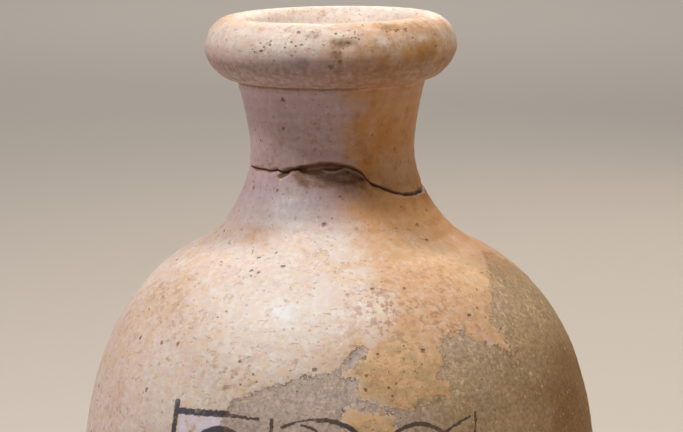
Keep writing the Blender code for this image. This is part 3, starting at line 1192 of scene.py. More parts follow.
    def set_on_axis(self, points: np.ndarray, above: np.ndarray, inside: np.ndarray) -> np.ndarray:
        """Lean and shift the piece above the joint line, and drift the wall just below it.

        Args:
            points: places round the plain axis.
            above: share of each point above the joint line.
            inside: which points are on the inner face.

        Returns:
            The places off the axis.
        """
        joint = self.joint
        lean = math.radians(joint.lean)
        rise = points[..., 2] - joint.height
        leaned = np.stack([
            points[..., 0] * math.cos(lean) - rise * math.sin(lean) + joint.neck_shift,
            points[..., 1],
            points[..., 0] * math.sin(lean) + rise * math.cos(lean) + joint.height,
        ], axis=-1)
        drift = smooth(points[..., 2], joint.shift_start, joint.height)
        shifted = points + np.stack([joint.shoulder_shift * drift, 0 * drift, 0 * drift], axis=-1)
        inner_share = smooth(rise, -joint.inner_blend, joint.inner_blend)
        share = np.where(inside, inner_share, above)[..., None]
        return shifted * (1.0 - share) + leaned * share

    def painted(
        self, grid: Grid, height: np.ndarray, gap: np.ndarray, ragged: np.ndarray, bare: np.ndarray
    ) -> dict:
        """The soft layers of stain, tint and wear.

        Args:
            grid: the grid with its azimuths.
            height: height of each point on the plain form.
            gap: distance into the coat's losses.
            ragged: how ragged the losses' edges are.
            bare: share of bare ware.

        Returns:
            One array for each layer.
        """
        weather = self.weather
        azimuth = grid.azimuth
        inside = grid.part == Part.INSIDE.value
        rim = grid.part == Part.RIM.value
        depth = self.outline.height - height
        turned = azimuth + weather.wander * layered_noise(grid.points, weather.wander_size, 29, 3)
        right = smooth(turned, *weather.right_side) * smooth(azimuth, *weather.right_end)
        left = smooth(turned, *weather.left_side) * smooth(azimuth, *weather.left_end)
        low_rim = smooth(height, *weather.low_rim)
        neck = smooth(height, *weather.neck)
        uneven = 0.5 + 0.5 * layered_noise(grid.points, weather.mottle_size, 23, 3)
        stain = right * (0.86 + 0.14 * uneven) * np.where(rim, low_rim, smooth(height, *weather.stain_foot))
        stain = np.maximum(stain, 0.10 * left * neck * (1.0 - rim))
        cleaner = bump_at(azimuth, *weather.clean_turn) * bump_at(height, *weather.clean_height)
        cool = left * np.where(rim, 0.9 * low_rim, smooth(height, *weather.cool_foot))
        browned = 0.5 * smooth(azimuth, *weather.brown_near) + 0.5 * smooth(azimuth, *weather.brown_far)
        browned *= smooth(azimuth, *weather.brown_end)
        shoulder = smooth(height, *weather.shoulder_top) * smooth(height, *weather.shoulder_foot)
        blush = smooth(turned, *weather.blush_side) * smooth(azimuth, *weather.blush_end)
        layers = {
            Layer.COAT_GAP: gap,
            Layer.RAGGED: ragged,
            Layer.STAIN: stain * (1.0 - 0.38 * cleaner),
            Layer.COOL: cool,
            Layer.BROWNED: browned * (0.44 + 0.56 * smooth(height, *weather.brown_height)),
            # Painted shade darkens the rim's underside.
            Layer.SOIL_AND_SHADE: np.where(rim, 0.25 * smooth(height, *weather.rim_underside_shade), 0.0),
            Layer.BLUSH: 0.95 * blush * shoulder,
            Layer.INNER: np.where(inside, smooth(depth, *weather.inner_depth), 0.0),
        }
        spread = weather.uneven * layered_noise(grid.points, weather.uneven_size, 61, 3)
        for layer, blots in weather.blots.items():
            shares = [blot.strength * self.oval(grid, blot, spread, blot.soft) for blot in blots]
            layers[layer] = np.maximum.reduce([layers.get(layer, 0.0 * height), *shares])
        for layer in (Layer.STAIN, Layer.COOL):
            layers[layer] = np.where(inside, 0.0, layers[layer])
        layers[Layer.OCHRE] *= 1.0 - bare
        lip = np.where(inside, 0.8 * smooth(depth, *weather.lip_depth), 0.0)
        layers[Layer.BLUSH] = np.maximum(layers[Layer.BLUSH], lip * bump_at(azimuth, *weather.lip_turn))
        return layers

    def faces(self, rows: int) -> np.ndarray:
        """Quads between neighbouring rows, closed round the jar.

        Args:
            rows: number of rows.

        Returns:
            The corner numbers, four to a quad.
        """
        first = np.arange(rows - 1)[:, None] * self.columns
        column = np.arange(self.columns)[None, :]
        after = (column + 1) % self.columns
        quads = np.stack([first + column, first + after, first + self.columns + after,
                          first + self.columns + column], axis=-1)
        return quads.reshape(-1, 4)

    def mesh(self, grid: Grid) -> bpy.types.Mesh:
        """Make the mesh: the grid's rows, with the first and last row drawn to one point each.

        Args:
            grid: the shaped grid.

        Returns:
            The mesh with its layers and its unrolled map.
        """
        rows = grid.azimuth.shape[0]
        ring = grid.points[1:-1].reshape(-1, 3)
        poles = grid.points[[0, -1]].mean(axis=1)
        vertices = np.concatenate([ring, poles])
        quads = self.faces(rows - 2)
        column = np.arange(self.columns)
        after = (column + 1) % self.columns
        last = (rows - 3) * self.columns
        bottom = np.stack([np.full_like(column, len(ring)), after, column], axis=-1)
        top = np.stack([np.full_like(column, len(ring) + 1), last + column, last + after], axis=-1)
        mesh = bpy.data.meshes.new("pottery_jar")
        loops = np.concatenate([quads.ravel(), bottom.ravel(), top.ravel()])
        sizes = np.concatenate([np.full(len(quads), 4), np.full(2 * self.columns, 3)])
        starts = np.concatenate([[0], np.cumsum(sizes)[:-1]])
        mesh.vertices.add(len(vertices))
        mesh.vertices.foreach_set("co", vertices.ravel())
        mesh.loops.add(len(loops))
        mesh.loops.foreach_set("vertex_index", loops.astype(np.int32))
        mesh.polygons.add(len(sizes))
        mesh.polygons.foreach_set("loop_start", starts.astype(np.int32))
        mesh.update(calc_edges=True)
        for layer, values in grid.layers.items():
            data = np.concatenate([values[1:-1].ravel(), values[[0, -1]].mean(axis=1)])
            attribute = mesh.attributes.new(layer.value, "FLOAT", "POINT")
            attribute.data.foreach_set("value", data.astype(np.float32))
        self.unroll(mesh, grid, loops, sizes, starts)
        mesh.validate()
        mesh.shade_smooth()
        return mesh

    def unroll(
        self,
        mesh: bpy.types.Mesh,
        grid: Grid,
        loops: np.ndarray,
        sizes: np.ndarray,
        starts: np.ndarray,
    ) -> None:
        """Add the unrolled map: azimuth times the panel's radius, and length along the outline.

        Args:
            mesh: the mesh to add it to.
            grid: the shaped grid.
            loops: vertex number of each face corner.
            sizes: corners of each face.
            starts: first corner of each face.
        """
        azimuth = np.radians(grid.azimuth)
        across = np.concatenate([azimuth[1:-1].ravel(), [0.0, 0.0]])[loops]
        upright = np.concatenate([grid.along[1:-1].ravel(), grid.along[[0, -1], 0]])[loops]
        face = np.repeat(np.arange(len(sizes)), sizes)
        highest = np.maximum.reduceat(across, starts)[face]
        lowest = np.minimum.reduceat(across, starts)[face]
        wraps = (highest - lowest > np.pi) & (across < 0.0)
        across = np.where(wraps, across + 2.0 * np.pi, across)
        layer = mesh.uv_layers.new(name="unrolled")
        places = np.stack([across * PANEL.radius, upright], axis=-1)
        layer.data.foreach_set("uv", places.ravel().astype(np.float32))

    def build(self) -> bpy.types.Object:
        """Shape the jar, make its object, dress it and set it in the frame.

        Returns:
            The jar's object.
        """
        grid = self.base_grid()
        self.shape(grid)
        mesh = self.mesh(grid)
        jar = bpy.data.objects.new("pottery_jar", mesh)
        bpy.context.scene.collection.objects.link(jar)
        mesh.materials.append(JarClay(self.outline).material())
        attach(jar, "root")
        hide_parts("jar")
        triangles = sum(len(polygon.vertices) - 2 for polygon in mesh.polygons)
        LOG.info("pottery_jar: %d rows, %d columns, %d triangles", *grid.azimuth.shape, triangles)
        return jar


@dataclass(frozen=True)
class Stroke:
    """One brush mark by its ends' azimuths and heights, how far its middle bows, and its width."""

    start: tuple
    end: tuple
    bow: float
    width: float


@dataclass(frozen=True)
class Panel:
    """The painted panel on the front: a thick frame line and rows of plain strokes."""

    radius: float = 0.110
    left: float = -37.8
    right: float = 37.8
    top: float = 0.2030
    bottom: float = 0.0950
    rows_top: float = 0.1900
    row_height: float = 0.0145
    cell_width: float = 0.0115
    fade: float = 0.001
    row_strokes: tuple = ((1.0, 0.00085), (7.0, 0.0007))
    frame_lines: tuple = (
        Stroke((-38.8, 0.2042), (-37.6, 0.0950), 0.0004, 0.0017),
        Stroke((-38.0, 0.2009), (-25.5, 0.2025), 0.0, 0.0017),
        Stroke((-25.5, 0.2022), (-18.0, 0.2017), 0.0, 0.0008),
        Stroke((-37.6, 0.0955), (4.0, 0.0950), 0.0, 0.0016),
    )
    first_row: tuple = (
        Stroke((-31.5, 0.1920), (-22.0, 0.1938), 0.0034, 0.0018),
        Stroke((-14.8, 0.2018), (-15.4, 0.1920), 0.0004, 0.0009),
        Stroke((-12.5, 0.1990), (-4.0, 0.2026), 0.0012, 0.0007),
        Stroke((-4.6, 0.2025), (5.0, 0.1950), 0.0024, 0.0012),
        Stroke((-8.2, 0.2003), (-4.0, 0.1970), 0.0006, 0.0006),
        Stroke((12.0, 0.1968), (22.8, 0.1958), 0.0038, 0.0012),
        Stroke((23.5, 0.1958), (29.8, 0.2006), 0.0003, 0.0007),
        Stroke((31.5, 0.2020), (30.2, 0.1900), 0.0003, 0.0007),
    )


PANEL = Panel()


def linear(red: float, green: float, blue: float) -> tuple:
    """Colour for a shader, by the usual screen curve.

    Args:
        red: the red that a screen shows, 0 to 255.
        green: the green.
        blue: the blue.

    Returns:
        The three linear values and a full alpha.
    """
    values = np.array([red, green, blue]) / 255.0
    plain = np.where(values <= 0.04045, values / 12.92, ((values + 0.055) / 1.055) ** 2.4)
    return (*plain, 1.0)


@dataclass(frozen=True)
class Grain:
    """A noise pattern: its scale per metre, detail and roughness, and a seed that moves it."""

    scale: float
    detail: float = 2.0
    roughness: float = 0.5
    seed: float = 0.0


@dataclass(frozen=True)
class Wash:
    """A colour laid on where a grain rises from low to high, as strong as its share."""

    colour: tuple
    grain: Grain
    low: float
    high: float
    share: float = 1.0


@dataclass(frozen=True)
class Veil:
    """A colour laid on by a layer, as strong as the layer times (gain times grain plus base)."""

    colour: tuple
    layer: Layer
    grain: Grain
    gain: float
    base: float


@dataclass(frozen=True)
class Spots:
    """Specks of one colour: cells per metre, size, and the share of cells with and without pitting."""

    colour: tuple
    cells: float
    size: float
    share: float
    pitted_share: float
    strength: float


class Signal:
    """A value that changes over the surface: a node's socket that takes plain arithmetic."""

    def __init__(self, graph: "Graph", socket: bpy.types.NodeSocket) -> None:
        """Keep the socket and the graph that gets the arithmetic's nodes."""
        self.graph = graph
        self.socket = socket

    def __add__(self, other: object) -> "Signal":
        """This value plus another."""
        return self.graph.math("ADD", self, other)

    def __sub__(self, other: object) -> "Signal":
        """This value less another."""
        return self.graph.math("SUBTRACT", self, other)

    def __rsub__(self, other: object) -> "Signal":
        """Another value less this one."""
        return self.graph.math("SUBTRACT", other, self)

    def __mul__(self, other: object) -> "Signal":
        """This value times another."""
        return self.graph.math("MULTIPLY", self, other)

    def __truediv__(self, other: object) -> "Signal":
        """This value over another."""
        return self.graph.math("DIVIDE", self, other)

    def __rtruediv__(self, other: object) -> "Signal":
        """Another value over this one."""
        return self.graph.math("DIVIDE", other, self)

    def __abs__(self) -> "Signal":
        """This value without its sign."""
        return self.graph.math("ABSOLUTE", self)

    def clamped(self) -> "Signal":
        """This value held between 0 and 1."""
        return self.graph.math("ADD", self, 0.0, clamp=True)


class Graph:
    """A short way to add and wire shader nodes in one node tree."""

    def __init__(self, tree: bpy.types.NodeTree) -> None:
        """Keep the tree that nodes are added to."""
        self.tree = tree

    def feed(self, socket: bpy.types.NodeSocket, value: object) -> None:
        """Link a value into a socket, or set it where it is plain.

        Args:
            socket: the input.
            value: a signal, an output socket, or a number, vector or colour.
        """
        value = value.socket if isinstance(value, Signal) else value
        if isinstance(value, bpy.types.NodeSocket):
            self.tree.links.new(value, socket)
        else:
            socket.default_value = value

    def node(self, kind: str, *values: object, **settings: object) -> bpy.types.Node:
        """Add a node.

        Args:
            kind: the node's type.
            values: what its first inputs get, in order.
            settings: its settings by name.

        Returns:
            The node.
        """
        node = self.tree.nodes.new("ShaderNode" + kind)
        for name, value in settings.items():
            setattr(node, name, value)
        for socket, value in zip(node.inputs, values):
            self.feed(socket, value)
        return node

    def named(self, kind: str, inputs: dict, **settings: object) -> bpy.types.Node:
        """Add a node whose inputs are fed by name.

        Args:
            kind: the node's type.
            inputs: values by the inputs' names.
            settings: its settings by name.

        Returns:
            The node.
        """
        node = self.node(kind, **settings)
        for name, value in inputs.items():
            self.feed(node.inputs[name], value)
        return node

    def math(self, operation: str, *values: object, clamp: bool = False) -> Signal:
        """Add a Math node and return its result."""
        node = self.node("Math", *values, operation=operation, use_clamp=clamp)
        return Signal(self, node.outputs[0])

    def vector(self, operation: str, *values: object) -> Signal:
        """Add a Vector Math node and return its result: a number for a length or a dot product."""
        node = self.node("VectorMath", *values, operation=operation)
        return Signal(self, node.outputs["Value" if operation in ("LENGTH", "DOT_PRODUCT") else "Vector"])

    def reach(self, first: Signal, second: Signal) -> Signal:
        """Length of two values at a right angle, by the root of their squares' sum."""
        return self.math("SQRT", first * first + second * second)

    def parts(self, kind: str, value: object) -> tuple:
        """Split a colour (kind Color) or a place (kind XYZ) into its three values."""
        return tuple(Signal(self, socket) for socket in self.node("Separate" + kind, value).outputs)

    def step(self, value: object, low: object, high: object) -> Signal:
        """Smooth step from 0 at low to 1 at high.

        Args:
            value: what is stepped.
            low: where the step starts.
            high: where it ends; it may be less than low.

        Returns:
            The step.
        """
        inputs = {"Value": value, "From Min": low, "From Max": high}
        node = self.named("MapRange", inputs, interpolation_type="SMOOTHSTEP")
        return Signal(self, node.outputs["Result"])

    def mix(self, share: object, first: object, second: object, blend: str = "MIX") -> bpy.types.NodeSocket:
        """Mix two colours.

        Args:
            share: share of the second colour, held between 0 and 1.
            first: the colour below.
            second: the colour on top.
            blend: how the second acts on the first.

        Returns:
            The mixed colour.
        """
        node = self.node("Mix", data_type="RGBA", blend_type=blend, clamp_factor=True)
        for number, value in ((0, share), (6, first), (7, second)):
            self.feed(node.inputs[number], value)
        return node.outputs[2]

    def grey(self, value: Signal) -> bpy.types.NodeSocket:
        """A grey of the given brightness."""
        return self.node("CombineColor", value, value, value).outputs[0]

    def noise(self, place: object, grain: Grain) -> Signal:
        """Noise from 0 to 1.

        Args:
            place: where it is read.
            grain: its pattern; a seed moves the place along a fixed slant.

        Returns:
            The noise.
        """
        seed = grain.seed
        moved = self.vector("ADD", place, (seed, 1.7 * seed, -0.6 * seed)) if seed else place
        shape = {"Scale": grain.scale, "Detail": grain.detail, "Roughness": grain.roughness}
        return Signal(self, self.named("TexNoise", {"Vector": moved, **shape}).outputs["Fac"])

    def stretched(self, place: object, scale: tuple, turn: float = 0.0) -> Signal:
        """A place turned round Z and scaled along each axis, so that a grain runs one way."""
        inputs = {"Vector": place, "Rotation": (0.0, 0.0, turn), "Scale": scale}
        return Signal(self, self.named("Mapping", inputs).outputs[0])

    def layer(self, layer: Layer) -> Signal:
        """Read one of the jar's layers."""
        return Signal(self, self.node("Attribute", attribute_name=layer.value).outputs["Fac"])

    def group(self, tree: bpy.types.NodeTree, **inputs: object) -> tuple:
        """Place a node group, feed its inputs by name and return its outputs."""
        node = self.named("Group", inputs, node_tree=tree)
        return tuple(Signal(self, socket) for socket in node.outputs)

    def wash(
        self, colour: object, place: object, wash: Wash, lift: object = None, mask: object = None
    ) -> bpy.types.NodeSocket:
        """Lay a wash over a colour.

        Args:
            colour: the colour below.
            place: where the grain is read.
            wash: what is laid on.
            lift: what is added to the grain before its step.
            mask: where the wash lies, everywhere if left out.

        Returns:
            The new colour.
        """
        grain = self.noise(place, wash.grain)
        lifted = grain if lift is None else grain + lift
        strength = self.step(lifted, wash.low, wash.high) * wash.share
        return self.mix(strength if mask is None else strength * mask, colour, wash.colour)

    def veil(self, colour: object, place: object, veil: Veil, tint: object = None) -> bpy.types.NodeSocket:
        """Lay a veil over a colour.

        Args:
            colour: the colour below.
            place: where the grain is read.
            veil: what is laid on.
            tint: a colour in place of the veil's own.

        Returns:
            The new colour.
        """
        strength = self.layer(veil.layer) * (self.noise(place, veil.grain) * veil.gain + veil.base)
        return self.mix(strength, colour, veil.colour if tint is None else tint)


def new_group(name: str, inputs: dict, outputs: tuple) -> tuple:
    """Start a shader node group.

    Args:
        name: the group's name.
        inputs: socket kinds by input name, Float or Vector.
        outputs: names of its value outputs.

    Returns:
        A graph on the group's tree, its inputs as signals by name, and its output node's sockets.
    """
    tree = bpy.data.node_groups.new(name, "ShaderNodeTree")
    for socket, kind in inputs.items():
        tree.interface.new_socket(socket, in_out="INPUT", socket_type="NodeSocket" + kind)
    for socket in outputs:
        tree.interface.new_socket(socket, in_out="OUTPUT", socket_type="NodeSocketFloat")
    graph = Graph(tree)
    entry = tree.nodes.new("NodeGroupInput").outputs
    leave = tree.nodes.new("NodeGroupOutput").inputs
    return graph, {socket: Signal(graph, entry[socket]) for socket in inputs}, leave


def speck_group() -> bpy.types.NodeTree:
    """Scattered specks: inside a share of the cells, a spot of random size round the cell's point.

    Returns:
        The group, with the mask of its specks.
    """
    inputs = {"Place": "Vector", "Cells": "Float", "Size": "Float", "Share": "Float"}
    graph, entry, leave = new_group("specks", inputs, ("Mask",))
    wander = graph.named("TexNoise", {"Vector": entry["Place"], "Scale": entry["Cells"] * 3.0})
    shifted = graph.vector("SUBTRACT", wander.outputs["Color"], (0.5, 0.5, 0.5))
    moved = graph.node("VectorMath", shifted, operation="SCALE")
    graph.feed(moved.inputs["Scale"], 0.60 / entry["Cells"])
    place = graph.vector("ADD", entry["Place"], moved.outputs[0])
    cells = graph.named("TexVoronoi", {"Vector": place, "Scale": entry["Cells"]})
    chance, size, _ = graph.parts("Color", cells.outputs["Color"])
    present = graph.math("LESS_THAN", chance, entry["Share"])
    reach = entry["Size"] * (size + 0.35)
    graph.feed(leave["Mask"], present * graph.step(cells.outputs[0], reach, reach * 0.55))
    return graph.tree


def ragged_group() -> bpy.types.NodeTree:
    """A crisp ragged edge: distance plus noise at two sizes, stepped at 0, and a band along it.

    Returns:
        The group, with the mask of the inside and the band.
    """
    inputs = {"Place": "Vector", "Distance": "Float", "Ragged": "Float"}
    graph, entry, leave = new_group("ragged_edge", inputs, ("Mask", "Band"))
    coarse = graph.noise(entry["Place"], Grain(230.0, 5.0, 0.66)) - 0.5
    fine = graph.noise(entry["Place"], Grain(900.0, 3.0, 0.6, 3.0)) - 0.5
    moved = (coarse * 4.6 + fine * 4.4) * entry["Ragged"] + entry["Distance"]
    graph.feed(leave["Mask"], graph.step(moved, -0.00018, 0.00022))
    graph.feed(leave["Band"], graph.step(abs(moved - 0.0002), 0.0008, 0.0001))
    return graph.tree


def brush_group() -> bpy.types.NodeTree:
    """A bowed brush mark: distance to a parabola between two ends, stepped at the mark's half width.

    Returns:
        The group, with the mask of the mark.
    """
    inputs = {"Place": "Vector", "Start": "Vector", "End": "Vector", "Bow": "Float", "Width": "Float"}
    graph, entry, leave = new_group("brush_mark", inputs, ("Mask",))
    along = graph.vector("SUBTRACT", entry["End"], entry["Start"])
    length = graph.vector("LENGTH", along)
    way = graph.vector("NORMALIZE", along)
    offset = graph.vector("SUBTRACT", entry["Place"], entry["Start"])
    forward = graph.vector("DOT_PRODUCT", offset, way)
    sideways = graph.vector("DOT_PRODUCT", offset, graph.vector("CROSS_PRODUCT", (0.0, 0.0, 1.0), way))
    share = (forward / length).clamped()
    side = sideways - share * (1.0 - share) * 4.0 * entry["Bow"]
    reach = graph.reach(side, forward - share * length)
    swell = graph.noise(entry["Place"], Grain(420.0, 3.0, 0.7)) * 0.0022 - 0.0011
    graph.feed(leave["Mask"], graph.step(reach + swell, entry["Width"], entry["Width"] * 0.65))
    return graph.tree


def stroke_row_group() -> bpy.types.NodeTree:
    """Rows of plain strokes: one short bowed stroke of random slant and length in each cell.

    Returns:
        The group, with the mask of the strokes.
    """
    inputs = {"Place": "Vector", "Cell": "Float", "Row": "Float", "Seed": "Float", "Width": "Float"}
    graph, entry, leave = new_group("stroke_rows", inputs, ("Mask",))
    x, y, _ = graph.parts("XYZ", entry["Place"])
    row = graph.math("FLOOR", y / entry["Row"])
    row_place = graph.node("CombineXYZ", row, entry["Seed"]).outputs[0]
    slide = graph.node("TexWhiteNoise", row_place, noise_dimensions="2D").outputs["Value"]
    across = x / entry["Cell"] + slide
    cell_place = graph.node("CombineXYZ", graph.math("FLOOR", across), row, entry["Seed"]).outputs[0]
    chance = graph.node("TexWhiteNoise", cell_place, noise_dimensions="3D")
    slanted, long, bowed = graph.parts("Color", chance.outputs["Color"])
    local_x = (graph.math("FRACT", across) - 0.5) * entry["Cell"]
    local_y = (graph.math("FRACT", y / entry["Row"]) - 0.45) * entry["Row"]
    slant = (slanted - 0.35) * 2.6
    cosine = graph.math("COSINE", slant)
    sine = graph.math("SINE", slant)
    forward = local_x * cosine + local_y * sine
    side = local_y * cosine - local_x * sine
    half = (long * 0.16 + 0.16) * entry["Row"]
    part = forward / half
    bell = 1.0 - graph.math("MINIMUM", part * part, 1.0)
    bent = side - bell * ((bowed - 0.5) * 0.0060)
    reach = graph.reach(bent, graph.math("MAXIMUM", abs(forward) - half, 0.0))
    swell = graph.noise(entry["Place"], Grain(480.0)) * 0.0014 - 0.0007
    stroke = graph.step(reach + swell, entry["Width"], entry["Width"] * 0.6)
    present = graph.math("LESS_THAN", chance.outputs["Value"], 0.86)
    graph.feed(leave["Mask"], stroke * present)
    return graph.tree


@dataclass(frozen=True)
class CoatFinish:
    """The cream coat: its tints, a painted highlight, and its sheen."""

    cream: tuple = linear(229, 206, 190)
    cloud: Grain = Grain(34.0, 4.0, 0.6)
    broad: Grain = Grain(85.0, 4.0, 0.62, 6.0)
    pale: Wash = Wash(linear(238, 228, 219), Grain(330.0, 5.0, 0.68, 2.0), 0.42, 0.62, 0.85)
    tan: Wash = Wash(linear(200, 166, 140), Grain(300.0, 6.0, 0.72, 5.0), 0.54, 0.66, 0.74)
    warm: Wash = Wash(linear(236, 202, 164), Grain(210.0, 4.0, 0.64, 26.0), 0.48, 0.62, 0.45)
    pink: Wash = Wash(linear(228, 206, 206), Grain(180.0, 4.0, 0.64, 27.0), 0.48, 0.62, 0.45)
    mauve: Veil = Veil(linear(204, 178, 188), Layer.COOL, Grain(420.0, 4.0, 0.66, 32.0), 1.5, 0.10)
    # Pale streaks, and the painted highlight on the front of the shoulder.
    white_and_highlight: Veil = Veil(linear(238, 236, 236), Layer.PALE_AND_HIGHLIGHT, Grain(380.0, 4.0, 0.62, 7.0), 3.4, -0.85)
    peach: Veil = Veil(linear(220, 172, 128), Layer.BLUSH, Grain(240.0, 6.0, 0.70, 8.0), 3.0, -0.62)
    ochre: Veil = Veil(linear(234, 190, 142), Layer.OCHRE, Grain(300.0, 5.0, 0.7, 11.0), 1.4, 0.25)
    deep_ochre: Wash = Wash(linear(206, 173, 128), Grain(170.0, 6.0, 0.74, 10.0), 0.42, 0.58)
    dashes: Wash = Wash(linear(142, 100, 74), Grain(260.0, 4.0, 0.64, 13.0), 0.60, 0.68, 0.46)
    rust: Wash = Wash(linear(174, 124, 98), Grain(330.0, 3.0, 0.60, 24.0), 0.50, 0.57, 0.80)
    chip: Wash = Wash(linear(243, 230, 216), Grain(420.0, 4.0, 0.66, 15.0), 0.64, 0.72, 0.80)
    # A dark line along stretches of the coat's ragged edge.
    edge_line: Wash = Wash(linear(128, 96, 76), Grain(230.0, 4.0, 0.6, 25.0), 0.52, 0.60, 0.75)
    specks: Spots = Spots(linear(142, 100, 74), 560.0, 0.34, 0.16, 0.0, 0.45)
    pits: Spots = Spots(linear(116, 84, 66), 290.0, 0.27, 0.08, 0.70, 0.72)
    pricks: Spots = Spots(linear(116, 84, 66), 640.0, 0.36, 0.0, 0.55, 0.75)
    drawn: tuple = (1.0, 1.0, 0.3)
    brushed: tuple = (0.45, 1.3, 1.0)
    brush_turn: float = 0.35
    roughness: float = 0.47
    thickness: float = 0.00028


@dataclass(frozen=True)
class WareFinish:
    """The bare ware under the coat, and the stain, soil and painted shade that lie on both."""

    grey: tuple = linear(198, 176, 165)
    olive: tuple = linear(186, 156, 120)
    brown: tuple = linear(152, 112, 68)
    browning: Grain = Grain(60.0, 4.0, 0.6, 12.0)
    salt: Grain = Grain(560.0, 5.0, 0.76, 14.0)
    broad: Grain = Grain(75.0, 3.0, 0.6, 31.0)
    dark: Wash = Wash(linear(126, 100, 76), Grain(330.0, 5.0, 0.74, 17.0), 0.54, 0.68, 0.50)
    light: Wash = Wash(linear(228, 206, 168), Grain(370.0, 5.0, 0.72, 19.0), 0.61, 0.66, 0.80)
    stain: tuple = linear(209, 142, 68)
    stain_run: Grain = Grain(150.0, 5.0, 0.62, 16.0)
    dark_stain: Wash = Wash(linear(170, 112, 68), Grain(190.0, 5.0, 0.66, 21.0), 0.52, 0.68, 0.50)
    # Colours of the soil layer, which also paint its shade.
    soil: tuple = linear(108, 68, 56)
    olive_soil_and_shade: tuple = linear(146, 110, 84)
    soil_and_shade_breakup: Grain = Grain(380.0, 4.0, 0.66, 23.0)
    inner: tuple = linear(176, 140, 108)
    drawn: tuple = (1.0, 1.0, 0.35)
    roughness: float = 0.70


@dataclass(frozen=True)
class InkFinish:
    """The paint of the panel, blue-black on the coat and brown where the ware is bare."""

    on_coat: tuple = linear(58, 54, 66)
    on_ware: tuple = linear(84, 66, 56)
    ground: tuple = linear(238, 228, 250)
    ground_share: float = 0.75
    patchy: Grain = Grain(160.0, 4.0, 0.6, 30.0)
    worn: Grain = Grain(260.0, 5.0, 0.7, 9.0)
    dullness: float = 0.08


@dataclass(frozen=True)
class Surface:
    """Fine unevenness of all finishes: patterns, and heights in metres for the bump."""

    sheen: Grain = Grain(180.0, 3.0, 0.6, 18.0)
    sheen_swing: float = 0.16
    grain: Grain = Grain(700.0, 5.0, 0.65, 20.0)
    grain_height: float = 0.00016
    waves: Grain = Grain(120.0, 3.0, 0.55, 22.0)
    wave_height: float = 0.00030
    pit_depth: float = 0.0005
    soil_and_shade_dullness: float = 0.25
    refraction: float = 1.48


